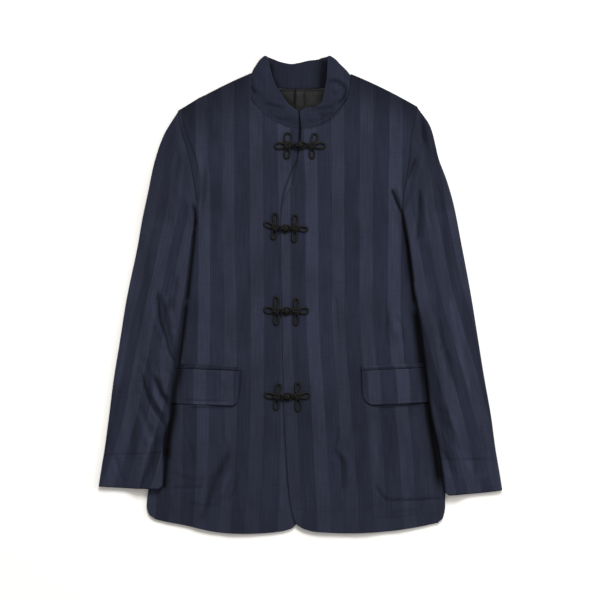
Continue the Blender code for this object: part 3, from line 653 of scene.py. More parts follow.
PALE = (0.0244, 0.0275, 0.0474)
DEEP = (0.0158, 0.0182, 0.0330)
LINING_BLACK = (0.0132, 0.0132, 0.0146)
CORD_BLACK = (0.0072, 0.0075, 0.0074)
THREAD_NAVY = (0.0185, 0.021, 0.036)
WEAVE_PITCH, TWILL_PITCH = 0.9, 1.1
NOISE_LOW, NOISE_HIGH = 0.3, 0.7     # where nearly all of a noise lies


def linen(name, contrast, seed, level=0.5, half=0.229, fade=(-340, -120, 0.58)):
    """Navy linen with woven stripes, slubs along both threads and a dry nap.

    half is half a light stripe's share of the pitch. fade says where along the cloth the stripes
    have only a part of their strength, where they have all of it, and how large the part is."""
    finish = Finish(name, 0.9, 0.07)
    number, across, along, light = finish.grain()
    times, plus, ranged, varied = finish.times, finish.plus, finish.ranged, finish.varied
    waver = times(finish.work("SUBTRACT", finish.cloud(number, 3.0, along, 0.02, seed), 0.5), 0.014)
    place = plus(number, waver)
    offset = finish.work("ABSOLUTE", finish.work("SUBTRACT", finish.work("FRACT", plus(place, 0.5)), 0.5))
    pale = ranged(offset, half - 0.013, half + 0.013, 1.0, 0.0)
    patch = finish.cloud(across, 0.016, along, 0.009, seed + 8.0, 3.0, 0.6)
    strong = times(ranged(along, *fade, 1.0), ranged(patch, 0.34, 0.62, 0.6, 1.15))
    pale = finish.work("MULTIPLY_ADD", finish.work("SUBTRACT", pale, 0.45), strong, 0.45)
    band = finish.work("FLOOR", plus(times(place, 2.0), 0.5))
    own = finish.noise(finish.vector(times(band, 7.31), seed + 3.3, 0.5), 0.0)
    # threads: thin streaks along the warp, shorter ones along the weft
    warp = finish.cloud(across, 0.55, along, 0.016, seed + 1.0, 3.0, 0.62)
    weft = finish.cloud(across, 0.035, along, 0.75, seed + 2.0, 3.0, 0.6)
    blotch = finish.cloud(across, 0.03, along, 0.012, seed + 5.0)
    # random streaks, blotches and band tones, times the painted shade and painted highlights of the light
    # attribute
    tone_and_light = times(varied(warp, 0.88, 1.12), varied(weft, 0.93, 1.07), varied(blotch, 0.9, 1.08),
                 varied(own, 1 - 0.09 * contrast, 1 + 0.09 * contrast), light)
    middle = [level * a + (1 - level) * b for a, b in zip(PALE, DEEP)]
    low, high = (tuple(m + sign * contrast * (a - b) / 2 for m, a, b in zip(middle, PALE, DEEP))
                 for sign in (-1, 1))
    finish.tint(finish.mixed(pale, low, high), tone_and_light)
    finish.inputs["Sheen Weight"].default_value = 0.02
    finish.inputs["Sheen Roughness"].default_value = 0.5
    finish.inputs["Sheen Tint"].default_value = (0.62, 0.68, 0.9, 1.0)
    finish.tree.links.new(varied(warp, 0.94, 0.84), finish.inputs["Roughness"])
    weave = times(finish.sine(across, WEAVE_PITCH), finish.sine(along, WEAVE_PITCH), 0.35)
    finish.bump(plus(plus(warp, weft), weave), 0.35, 0.22)
    return finish.material


def lining(name, seed):
    """Black twill lining with a soft lustre."""
    finish = Finish(name, 0.5, 0.12)
    _, across, along, light = finish.grain()
    twill = finish.sine(finish.plus(across, along), TWILL_PITCH)
    cloud = finish.cloud(across, 0.2, along, 0.2, seed, 3.0)
    finish.tint(LINING_BLACK, finish.times(finish.varied(cloud, 0.85, 1.15), light,
                                           finish.ranged(twill, -1.0, 1.0, 0.94, 1.06)))
    finish.inputs["Sheen Weight"].default_value = 0.02
    finish.tree.links.new(finish.varied(cloud, 0.46, 0.58), finish.inputs["Roughness"])
    finish.bump(finish.plus(twill, cloud), 0.2, 0.12)
    return finish.material


def cordage(name, seed):
    """Black twisted cord with paler fibres here and there, and painted shade in the grooves between its
    strands.
    """
    finish = Finish(name, 0.6, 0.14)
    _, across, along, light = finish.grain()
    fibre = finish.cloud(across, 1.4, along, 2.6, seed, 3.0, 0.6)
    finish.tint(CORD_BLACK, finish.times(finish.varied(fibre, 0.7, 1.35), light))
    finish.inputs["Sheen Weight"].default_value = 0.01
    finish.tree.links.new(finish.varied(fibre, 0.5, 0.72), finish.inputs["Roughness"])
    finish.bump(fibre, 0.4, 0.15)
    return finish.material


def thread(name):
    """Sewing thread in the cloth's colour."""
    finish = Finish(name, 0.7, 0.1)
    _, across, along, light = finish.grain()
    twist = finish.noise(finish.vector(across, along), 2.0)
    finish.tint(THREAD_NAVY, finish.times(finish.varied(twist, 0.85, 1.15), light))
    finish.bump(twist, 0.3, 0.1)
    return finish.material


striped = linen("striped_linen_body", 1.0, 0.0)
striped_sleeve = linen("striped_linen_sleeve", 0.95, 11.0, 0.46, 0.272, (20, 150, 0.3))
striped_trim = linen("striped_linen_trim", 0.0, 23.0, 0.0)
black_lining = lining("dark_lining_twill", 4.0)
black_cord = cordage("black_cord_twisted", 7.0)
navy_thread = thread("navy_thread")

# Body

# Where little light gets in, beside the sleeves, below the flaps and along seams: half width in
# millimetres, strength (below 0 where a ridge catches more light), then the points in grid steps
DARK_RIGHT = strokes("""
    2.6 0.9: 192 202, 195.4 214, 195.6 226; 3.4 0.94: 195.6 214, 194.2 236, 191.6 262, 189.2 284, 187 304
    4.2 0.97: 187 300, 184.2 325, 181.6 345, 179.2 362, 176.6 378, 173.8 392
    8 0.985: 177 382, 174 400, 172.6 415, 169.8 430, 167 446, 166 462
    4.5 0.97: 167 446, 165.8 466, 164.6 478, 163.8 490
    1.5 0.62: 300.6 128, 300.2 143, 297.5 158, 292 170, 286.5 184, 282.2 200, 281 222
    1.4 0.6: 281 222, 281.2 260, 282 300, 283 350, 284.4 396
    2 0.85: 284 392, 286.2 430, 288.2 462, 289.8 490, 293 511, 298 525
    3.4 0.75: 286.2 424, 288.2 462, 289.8 490; 1.6 0.42: 181.8 118, 187.4 135, 196 160, 199.6 182, 199.4 205
    1.4 0.38: 186.4 150, 192.4 176, 197.6 203; 13 0.2: 206 100, 213 146, 215 215
    44 0.5: 172 106, 215 84, 262 60; 1.7 0.42: 250.3 94.8, 262 108, 275 119.8, 291.4 128.2
    1.2 0.9: 299.4 120, 299.2 132, 299.1 143; 5.5 0.4: 230 450, 214 484, 201 522; 3 -0.26: 230 470, 222 494
    2.4 0.24: 238 470, 236 486, 228 500; 3 0.2: 170 470, 188 478, 206 480
    1.8 0.3: 172 486, 186 487.6, 203 487.6; 2.5 0.22: 186 500, 204 505, 222 504
    1.6 0.55: 190 406.6, 215 407.6, 230 407.4, 238 402.6
    1.6 0.55: 240.6 368, 239.9 385, 238.4 398, 235 404""")
DARK_LEFT = strokes("""
    2.8 0.9: 391.6 188, 396.6 201, 403 216, 405.6 228
    3.8 0.96: 403.4 215, 406.4 236, 409 262, 411.8 284, 414.8 308
    7.5 0.985: 414.4 300, 417 325, 419.5 345, 422.5 368, 424.8 388, 427.4 408, 430.2 425, 433 441, \
        435.6 456, 438 472, 440.4 492
    1.6 0.42: 418.4 111, 413.4 134, 410.3 156, 406.4 182, 404 206; 44 0.5: 338 60, 384 84, 430 106
    1.7 0.42: 304.6 129.6, 318 125.6, 329 120.4, 340 109.4, 348 96; 1.1 0.85: 301 120, 300.5 134, 299.9 143
    1.8 0.2: 337 296, 338.8 330, 338 362; 1.6 -0.16: 332 298, 333.8 330, 335 358
    1.5 0.45: 388 500.5, 415 500, 444 498; 1.5 0.2: 375 517, 398 516.5, 420 514
    2.6 0.35: 376 484, 381 494, 388 501; 2.4 0.34: 334 448, 341.5 460, 343 490
    2.2 0.3: 338.6 426, 338 438, 335.6 448; 2.2 -0.16: 339 448, 347 462, 348 480
    4 -0.14: 372 420, 376 446, 374 474; 3 0.18: 384 414, 390 440, 388 466
    2.6 0.3: 388 312, 386.4 330, 389 346; 2.2 0.25: 396 312, 402 326, 403.6 342
    1.8 0.65: 362.4 392, 366 400.6, 374 405.6, 386 406.8, 404 405.6, 424 403.8
    1.6 0.6: 361 366, 361.3 384, 363.2 396""")


DARK_BACK = strokes("14 0.97: 299 96, 300 150")


def front_piece(name, rows, dyed, dark):
    """A front panel with its creases, its laps and the rolled edges."""
    lengths = (lengths_of(rows[:, 0:2]) + lengths_of(rows[:, 2:4])) / 2
    lines = curve(lengths, rows[:, :5], crowded(lengths[-1], 292))
    width = np.hypot(lines[:, 0] - lines[:, 2], lines[:, 1] - lines[:, 3])
    share = np.stack([crowded(w, 106) / w for w in width])
    x, y = ruled(lines, share)
    y = y + 4 * share * (1 - share) * lines[:, 4:5]
    y = y + 3.5 * bell(x + 190, 35) * smooth((-310 - y) / 50)
    grid = joined(x, y, front_height(rows, x, y))
    # painted shade along the dark lines, and painted shade that deepens towards the hem
    facts = (stripes(dyed, x, y), x, y, shaded(x, y, dark) * (1 - 0.13 * smooth((-70 - y) / 140)))
    outward = 1 if rows is FRONT_RIGHT else -1
    return shell(name, grid, CLOTH, (striped, black_lining), facts, outward=outward)


front_right = front_piece("cloth_front_right", FRONT_RIGHT, STRIPES_RIGHT, DARK_RIGHT)
front_left = front_piece("cloth_front_left", FRONT_LEFT, STRIPES_LEFT, DARK_LEFT)
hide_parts("front_right")
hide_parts("front_left")


def back_piece():
    """The back, its outer face down, with hollows where it doesn't touch the floor."""
    lengths = lengths_of(BACK[:, 0:2])
    lines = curve(lengths, BACK, crowded(lengths[-1], 150))
    width = BACK_TOP[-1, 0] - BACK_TOP[0, 0]
    keys = (BACK_TOP[:, 0] - BACK_TOP[0, 0]) / width
    share = crowded(width, 110) / width
    rises = BACK_TOP[:, 1] - BACK_TOP[0, 1] - keys * (BACK_TOP[-1, 1] - BACK_TOP[0, 1])
    rise = np.interp(share, keys, rises)
    x, y = ruled(lines, share)
    y = y + 4 * share * (1 - share) * BACK_HEM_SAG * lines[:, 4:5] + rise * lines[:, 5:6]
    z = lifted(x, y, HOLLOWS_BACK)
    z += 0.35 * bell(x + 3, 1.6) * smooth((330 - y) / 20)
    z += 0.12 * (1 + wander(x, y, 24, 60, 31))
    z -= z.min()
    grid = joined(x, y, z)
    mirrored = np.abs(x + 3) / 42 + 0.5
    facts = (mirrored, x, y, shaded(x, y, DARK_BACK))
    return shell("cloth_back", grid, CLOTH - 0.25, (striped, black_lining), facts, outward=-1, reveal=38)


back = back_piece()
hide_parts("back")


def armhole_points(rows, share):
    """Points of the armhole seam from the shoulder to the underarm, tucked under the body's edge."""
    edge = rows[rows[:, 1] >= ARMHOLE_FOOT][::-1, 0:2]
    lengths = lengths_of(edge)
    places = curve(lengths, edge, share * lengths[-1])
    return places - joined(np.full(len(share), np.sign(edge[0, 0]) * TUCK), np.zeros(len(share)))


def sleeve_ring(width, thick):
    """One section of a flattened sleeve: place across from the outer fold, level from 0 to 1."""
    radius = thick / 2
    turn = np.radians(np.linspace(0, 90, 6)[:-1])
    arc, high = radius * (1 - np.cos(turn)), (1 + np.sin(turn)) / 2
    top = np.linspace(radius, width - radius, 54)
    low = np.linspace(width - radius, radius, 40)
    across = np.concatenate((arc, top, (width - arc)[::-1], (width - arc)[1:], low, arc[::-1][:-1]))
    level = np.concatenate((high, np.ones(54), high[::-1], 1 - high[1:], np.zeros(40), (1 - high[::-1])[:-1]))
    return across, level


def sleeve_piece(name, rows, front, creases, hollows, seed, dyed, dark):
    """A sleeve that lies flattened, half on the body and half on the floor."""
    middle = (rows[:, 0:2] + rows[:, 2:4]) / 2
    lengths = lengths_of(middle)
    at = crowded(lengths[-1], 250)
    places = []
    for number, row in enumerate(rows):
        width = math.hypot(row[2] - row[0], row[3] - row[1])
        across, level = sleeve_ring(width, row[4])
        share = across / width
        if number == 0:
            order = np.argsort(share)
            ring = np.empty((len(share), 2))
            ring[order] = armhole_points(front, share[order])
        else:
            ring = row[0:2] + share[:, None] * (row[2:4] - row[0:2])
        places.append(np.concatenate((ring, across[:, None]), axis=1))
    fine = curve(lengths, np.array(places), at)
    thick = curve(lengths, rows[:, 4:5], at)
    x, y, across = fine[..., 0], fine[..., 1], fine[..., 2]
    width = across.max(axis=1, keepdims=True)
    into = at[:, None] * np.ones(x.shape)
    rest = sleeve_rest(x, y, into)
    z = rest + level * thick
    top, under = smooth(2 * level - 0.6), smooth(1 - 2.2 * level)
    crown = 0.7 * np.sin(np.pi * np.clip(across / width, 0, 1)) * smooth(into / 30)
    head = 1.0 * bell(into - 10, 6) - 1.5 * bell(into, 3.2)
    relief = creased(x, y, creases, seed, 2.3) + 2.0 * uneven(x, y, seed + 40) + folded(x, y)
    relief *= smooth(into / 18)
    z = z + top * (np.maximum(relief, DEEPEST_SLEEVE) + crown + head)
    z = z + under * lifted(x, y, hollows)
    # the cuff's rim rises to the inner fold, and its hem lies in a shallow channel of stitches
    to_cuff, part = at[-1] - into, np.clip(across / width, 0, 1)
    slope = 3.2 * part - 1.0 * np.sin(np.pi * part) + 4 * smooth((part - 0.93) / 0.07)
    y = y + slope * bell(to_cuff, 14)
    hem = bell(to_cuff - CUFF_HEM, 1.1)
    z -= 0.35 * top * hem
    grid = joined(x, y, z)
    number = stripes(dyed, x, y)
    number = np.where(level < 0.5, number + 0.37, number)
    # painted shade: along the dark lines on the upper face, where the sleeve tucks under the armhole, in the
    # cuff's stitch channel and at the cuff's opening
    light = np.where(level > 0.45, shaded(x, y, dark), 1.0)
    light = light * (1 - 0.6 * bell(into, 1.5)) * (1 - 0.3 * top * hem)
    light = light * (1 - 0.5 * bell(to_cuff, 1.2))
    facts = (number, across + 400 * (level < 0.5), into, light)
    outward = -1 if rows is SLEEVE_RIGHT else 1
    return shell(name, grid, CLOTH, (striped_sleeve, black_lining), facts, closed=True, outward=outward)


DARK_SLEEVE_RIGHT = strokes("""
    2.6 0.85: 192.4 202, 195.2 214, 194.6 228, 192 250, 188.6 276; 38 0.2: 186 112, 168 170, 158 226
    2.6 0.62: 158 290, 160.2 318.7, 165.8 335, 169.7 351, 177 364; 2.8 -0.22: 163.5 290, 166 316, 172 336
    2.4 0.6: 142.6 372, 147.4 394, 154.5 409, 167 427; 2.4 0.5: 154 372, 160 390, 170 408
    3 -0.28: 160 362, 154 380, 158 398, 165 412; 3 0.3: 171 296, 169 312, 174 330
    4 0.34: 159 433, 151 464, 139 488; 4.5 -0.22: 152 436, 146 456, 141 470
    7 0.25: 116 380, 109 424, 101 478; 2.6 0.6: 184.8 300, 180.6 335, 174.4 374, 171 398, 169 418
    2.6 0.6: 168.4 420, 163.6 444, 163.6 470, 163.4 490""")
DARK_SLEEVE_LEFT = strokes("""
    2.6 0.85: 391.6 190, 396.6 203, 403.4 216, 406.6 232, 410 256, 414 288
    36 0.2: 418 112, 436 164, 446 214; 2.6 0.45: 416 158, 412 168, 408.4 179
    3 -0.18: 425 150, 420 168, 416 184; 2.6 0.45: 420 188, 419.2 214, 417 242
    3 -0.2: 425 196, 426 222, 424 246; 2.4 0.3: 423 118, 423.4 134, 424 146
    3 -0.22: 449 296, 458 340, 470 392; 3 0.25: 430 322, 436 356, 440 396
    2.6 0.28: 446 402, 452 428, 460 452; 5 -0.2: 466 460, 474 474, 488 476
    13 0.32: 420 304, 427 345, 433 385, 439 425, 446 466; 2.8 0.34: 440 318, 442 336, 441 352
    4 0.88: 413.6 286, 415.8 304, 420.4 331, 426 376, 431 417, 437.4 447, 442 476, 444.6 496""")
sleeve_right = sleeve_piece("cloth_sleeve_right", SLEEVE_RIGHT, FRONT_RIGHT, CREASES_SLEEVE_RIGHT,
                            HOLLOWS_SLEEVE_RIGHT, 300, STRIPES_SLEEVE_RIGHT, DARK_SLEEVE_RIGHT)
sleeve_left = sleeve_piece("cloth_sleeve_left", SLEEVE_LEFT, FRONT_LEFT, CREASES_SLEEVE_LEFT,
                           HOLLOWS_SLEEVE_LEFT, 400, STRIPES_SLEEVE_LEFT, DARK_SLEEVE_LEFT)
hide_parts("sleeve_right")
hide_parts("sleeve_left")

# Collar

COLLAR_CREASES = strokes("""
    3 -2 0.2: 327 80.5, 332 80.6, 338 82, 343 85.6, 346 90.6, 343.4 98, 338.6 104
    5 1.7 0: 331 86, 337 90, 338 97, 333 103; 3 -0.9 0.2: 334 105, 331 111, 331 118
    2.6 -1 0.2: 247 80, 251 87, 255.5 94.5; 4 0.7 0: 253 78, 258 88, 263 97
    3.2 -0.6 0: 262 103, 272 106, 284 108; 4 0.6 0: 268 112, 280 116, 292 118
    3 -0.5 0: 306 112, 318 112, 328 109; 3.5 0.6 0: 306 119, 316 119, 326 115""")


def collar_columns(rows, fold, front, share):
    """Half of the collar's outer face from the centre front, over the fold, to the underside."""
    lengths = lengths_of((rows[:, 0:2] + rows[:, 2:4]) / 2)
    lines = curve(lengths, rows, crowded(lengths[-1], 46, high=False))
    low = plain_height(front, lines[:, 0], lines[:, 1])[0][:, None]
    x, y = ruled(lines, (1 + COLLAR_LAP) * share - COLLAR_LAP)
    columns = list(joined(x, y, low + 0.25 + (COLLAR_LOFT - low) * smooth(1.4 * share)))
    last = columns[-1]
    edge = finer(fold, 12)
    lengths = lengths_of(edge)
    places = curve(lengths, edge, share * lengths[-1])
    inward = -np.sign(fold[0, 0])
    top = EDGE_TOP + 0.6 + (COLLAR_LOFT - EDGE_TOP - 1.6) * smooth(1.4 * share)
    fold_columns = []
    for angle in np.radians(np.linspace(90, -90, FOLD_COLUMNS)):
        inset = FOLD_RADIUS * (1 - math.cos(angle))
        level = (1 + math.sin(angle)) / 2 * top
        x, y = places[:, 0] + inward * inset, places[:, 1] - 0.6 * inset
        fold_columns.append(joined(x, y, level))
    first = fold_columns[0]
    for t in np.arange(1, TURN_COLUMNS) / TURN_COLUMNS:
        column = last + t * (first - last)
        column[:, 2] = last[:, 2] + smooth(t) * (first[:, 2] - last[:, 2])
        columns.append(column)
    return columns + fold_columns


def collar_piece():
    """The stand collar as one band, open at the centre front."""
    share = crowded(COLLAR_HEIGHT, 20) / COLLAR_HEIGHT
    right = collar_columns(COLLAR_RIGHT, FOLD_RIGHT, FRONT_RIGHT, share)
    left = collar_columns(COLLAR_LEFT, FOLD_LEFT, FRONT_LEFT, share)
    # the back runs between the two folds with its outer face on the floor
    lines = curve(COLLAR_BACK[:, 0], COLLAR_BACK, np.linspace(-60, 62, 56))
    x, y = ruled(lines, (1 + COLLAR_LAP) * share - COLLAR_LAP)
    middle = list(joined(x, y, np.zeros(x.shape)))
    joins = []
    for start, end in ((right[-1], middle[0]), (middle[-1], left[-1])):
        joins.append([start + t * (end - start) for t in np.linspace(0, 1, 8)[1:-1]])
    grid = np.array(right + joins[0] + middle + joins[1] + left[::-1])
    x, y = grid[..., 0], grid[..., 1]
    # 1 on the face that is up, 0 below, and less and less round the first half of each fold
    count, fade = len(right) - FOLD_COLUMNS, FOLD_COLUMNS // 2
    upper = np.zeros(x.shape)
    upper[:count] = upper[-count:] = 1
    for step in range(fade):
        upper[count + step] = upper[-count - 1 - step] = 1 - step / fade
    rim = smooth(share / 0.16) * smooth((1 - share) / 0.10)
    relief = creased(x, y, COLLAR_CREASES, 500) + 0.8 * uneven(x, y, 530)
    grid[..., 2] += upper * rim * np.maximum(relief, DEEPEST_COLLAR)
    # painted shade along the dark lines; the face that lies under is painted darker all over, as shade
    light = shaded(x, y, DARK_COLLAR)
    light = np.where(upper > 0.2, light, 0.8 * shaded(x, y, DARK_INSIDE))
    facts = (0.25 + 0 * x, x + 300 * (upper < 0.2), y, light)
    return shell("cloth_collar", grid, CLOTH, (striped_trim,), facts, outward=1)


DARK_COLLAR = strokes("""
    2.8 0.55: 327.4 80.6, 332 81, 338 82.4, 343 86, 346 91, 343.4 98, 338.6 104
    2.4 0.38: 334 105, 322 107.6, 310 108; 3.2 0.3: 334 112, 326 115, 318 113
    2.6 0.6: 248 80, 251.4 87, 256 93.6; 3 0.25: 264 103, 272 105, 286 108
    1.7 0.6: 298.6 108, 299.2 118, 300.2 130""")
DARK_INSIDE = strokes("""
    5.5 0.72: 270 61, 271.5 74, 276 86, 284 97, 293 106; 10 0.72: 326 58, 324 72, 323 82, 321 94, 319 104
    1.9 0.6: 272 88.4, 290 89, 306 89, 322 88.2""")
collar = collar_piece()
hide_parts("collar_right", "collar_left", "collar_back")


def lining_piece():
    """The back lining inside the neck, with its box pleat."""
    lengths = np.concatenate(([0], np.cumsum(-np.diff(LINING[:, 1]))))
    lines = curve(lengths, LINING, crowded(lengths[-1], 34))
    columns = np.linspace(-1, 1, 121)
    x = lines[:, 0:1] * columns
    y = lines[:, 1:2] * np.ones(x.shape)
    opened = smooth((342 - y) / 14)
    half = PLEAT_HALF - 1.0 + 1.6 * opened
    panel = smooth((half - np.abs(x)) / 1.1 + 0.5)
    z = CLOTH + GAP + LINING_CLOTH + PLEAT_HEIGHT * panel * (0.35 + 0.65 * opened)
    z += 0.35 * bell(np.abs(x) - 5.2, 1.5) * opened - 0.3 * bell(np.abs(x) - 11, 2.2)
    z += 0.12 * wander(x, y, 9, 14, 61) - 0.4 * smooth((y - 330) / 9)
    grid = joined(x, y, z)
    # painted shade along the pleat's folds and beside the collar, and at the top where the lining runs under
    # the collar back
    light = shaded(x, y, DARK_LINING) * (1 - 0.8 * smooth((y - 333) / 5))
    return shell("cloth_neck_lining", grid, LINING_CLOTH, (black_lining,), (x / 40, x, y, light), outward=-1)


DARK_LINING = strokes("""
    3 0.85: 295.4 86, 294.8 96, 294 106; 2.8 0.85: 304 88, 304.8 96, 305.4 106
    5.5 0.8: 275 84, 284 97, 293 106; 7 0.7: 325 82, 322.6 94, 320 104; 4 0.55: 288 104, 300 108, 318 106""")
neck = lining_piece()
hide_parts("neck_lining")

# Pockets

def flap_piece(name, flap, front, dyed, dark):
    """A pocket flap, its lower inner corner rounded, lying on the front."""
    outer_x, outer_y, inner_x, inner_y, drop, corner = flap
    side = math.copysign(1, outer_x)
    width = abs(inner_x - outer_x)
    down = crowded(drop, 34)
    left = np.minimum(drop - down, corner)
    cut = np.where(left < corner, corner * (1 - np.sqrt(1 - (1 - left / corner) ** 2)), 0.0)
    rows = []
    for y_down, shorter in zip(down, cut):
        share = crowded(width - shorter - FLAP_SLANT * y_down / drop, 70) / width
        x = outer_x + share * (inner_x - outer_x)
        y = outer_y + share * (inner_y - outer_y) - y_down
        rows.append(joined(x, y))
    grid = np.array(rows)
    x, y = grid[..., 0], grid[..., 1]
    below = (down / drop)[:, None] * np.ones(x.shape)
    base, free = plain_height(front, x, y)
    rise = 0.25 * wander(x, y, 30, 22, 71) + 0.1 * wander(x, y, 9, 12, 72)
    z = base + GAP + FLAP_CLOTH + free * (rise + 0.7 * below ** 2)
    z -= 0.22 * free * bell(drop * (1 - below) - 8, 0.9)
    facts = (stripes(dyed, x - side * 6, y), x, y, shaded(x, y, dark))
    return shell(name, joined(x, y, z), FLAP_CLOTH, (striped,), facts, outward=side)


def jet_piece(name, flap, front, dyed, dark):
    """The narrow welt above a flap."""
    outer_x, outer_y, inner_x, inner_y = flap[:4]
    side = math.copysign(1, outer_x)
    share = crowded(abs(inner_x - outer_x), 70) / abs(inner_x - outer_x)
    rise = crowded(JET_HEIGHT, 5)[:, None]
    x = (outer_x + share * (inner_x - outer_x)) * np.ones(rise.shape)
    y = outer_y + share * (inner_y - outer_y) + SEAM + rise
    base, free = plain_height(front, x, y)
    z = base + GAP + FLAP_CLOTH + free * 0.12 * wander(x, y, 12, 6, 77)
    facts = (stripes(dyed, x - side * 3, y), x, y, shaded(x, y, dark))
    return shell(name, joined(x, y, z), FLAP_CLOTH, (striped,), facts, outward=-side)


DARK_FLAP_RIGHT = strokes("""
    8 0.9: 181 352, 178.4 372, 174.5 392, 172.5 410; 1.6 0.55: 184 367.4, 204.8 368.2, 226 369.4, 240 370.4
    1.2 0.3: 184 400, 206 400.4, 228 400.2; 2 -0.2: 190 403.4, 228 403.4; 4 0.22: 222 380, 225 390, 223 399
    1.5 0.5: 179.3 364.2, 210 366, 240 368.2""")
DARK_FLAP_LEFT = strokes("""
    8 0.9: 421.4 352, 423.6 370, 427.2 390, 429.4 410; 1.6 0.5: 362 369.8, 376 368.6, 394 367.8, 416 367.4""")
flap_right = flap_piece("cloth_flap_right", FLAP_RIGHT, FRONT_RIGHT, STRIPES_RIGHT, DARK_FLAP_RIGHT)
flap_left = flap_piece("cloth_flap_left", FLAP_LEFT, FRONT_LEFT, STRIPES_LEFT, DARK_FLAP_LEFT)
jet_right = jet_piece("cloth_jet_right", FLAP_RIGHT, FRONT_RIGHT, STRIPES_RIGHT, DARK_FLAP_RIGHT)
jet_left = jet_piece("cloth_jet_left", FLAP_LEFT, FRONT_LEFT, STRIPES_LEFT, DARK_FLAP_LEFT)
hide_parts("flap_right")
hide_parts("flap_left")
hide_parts("jet_right")
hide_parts("jet_left")

# Closures

STRANDS = 3            # in a twisted cord


def sweep(path, radius, closed, sides=12, twist=2.6, depth=0.13, level=1.0):
    """A twisted cord along a path in millimetres, as points, faces, grain and painted light."""
    path = np.asarray(path, float)
    count = len(path)
    if closed:
        ahead = np.roll(path, -1, axis=0) - np.roll(path, 1, axis=0)
    else:
        ahead = np.gradient(path, axis=0)
    ahead /= norms(ahead)
    up = np.cross(ahead, np.cross(np.array([0, 0, 1.0]), ahead))
    up = np.where(norms(up) < 0.1, np.array([1.0, 0, 0]), up)
    up /= norms(up)
    side = np.cross(ahead, up)
    along = lengths_of(path)
    total = along[-1] + (np.linalg.norm(path[0] - path[-1]) if closed else 0)
    turns = max(1, round(total / twist)) * 2 * np.pi / total
    angle = np.linspace(0, 2 * np.pi, sides, endpoint=False)
    wave = np.cos(STRANDS * angle[None, :] - turns * along[:, None])
    size = radius * (1 - depth * (1 - wave) / 2)
    if not closed:
        ends = (np.minimum(along, along[-1] - along) / radius)[:, None]
        rounded = size * np.sqrt(np.clip(ends * (2 - np.minimum(ends, 2)), 0.02, 1))
        size = np.where(ends >= 1, size, rounded)
    around = (np.cos(angle)[None, :, None] * side[:, None, :]
              + np.sin(angle)[None, :, None] * up[:, None, :])
    points = path[:, None, :] + size[..., None] * around
    index = np.arange(count * sides).reshape(count, sides)
    low = index if closed else index[:-1]
    high = np.roll(index, -1, axis=0) if closed else index[1:]
    faces = joined(low, np.roll(low, -1, axis=1), np.roll(high, -1, axis=1), high).reshape(-1, 4)
    faces = [tuple(face) for face in faces[:, ::-1]]
    if not closed:
        faces += [tuple(index[0]), tuple(index[-1][::-1])]
    grain = joined(0 * size, radius * angle, along[:, None])
    # painted shade in the grooves between the strands, and level darkens the whole cord with painted shade
    light = level * (0.55 + 0.45 * (wave + 1) / 2)
    return points.reshape(-1, 3), faces, grain.reshape(-1, 3), light.ravel()


def corded(name, parts, finish):
    """One object of several swept cords."""
    starts = np.cumsum([0] + [len(part[0]) for part in parts])
    faces = [tuple(int(v) + start for v in face) for start, part in zip(starts, parts) for face in part[1]]
    points, grain, light = (np.concatenate([part[k] for part in parts]) for k in (0, 2, 3))
    mesh = bpy.data.meshes.new(name)
    mesh.from_pydata((points * MM).tolist(), [], faces)
    mesh.polygons.foreach_set("use_smooth", np.ones(len(mesh.polygons), bool))
    piece = linked(name, mesh, (finish,), grain, light)
    return piece


def filling(centre, radii):
    """The filling inside a knot, as a part for corded, painted nearly black as shade between the cords."""
    lat, lon = np.linspace(0, np.pi, 9)[1:-1, None], np.linspace(0, 2 * np.pi, 14, endpoint=False)
    ring = joined(np.sin(lat) * np.cos(lon), np.sin(lat) * np.sin(lon), np.cos(lat))
    points = np.concatenate((ring.reshape(-1, 3), [(0, 0, 1), (0, 0, -1)])) * np.array(radii) + centre
    index = np.arange(7 * 14).reshape(7, 14)
    after = np.roll(index, -1, axis=1)
    faces = joined(index[:-1], index[1:], after[1:], after[:-1])
    faces = [tuple(face) for face in faces.reshape(-1, 4)]
    faces += [(98, index[0, i], index[0, (i + 1) % 14]) for i in range(14)]
    faces += [(99, index[6, (i + 1) % 14], index[6, i]) for i in range(14)]
    return points, faces, points.copy(), np.full(100, 0.15)


def turned(points, angle):
    """Points turned about the upright axis."""
    c, s = math.cos(angle), math.sin(angle)
    x, y, z = points.T
    return joined(c * x - s * y, s * x + c * y, z)


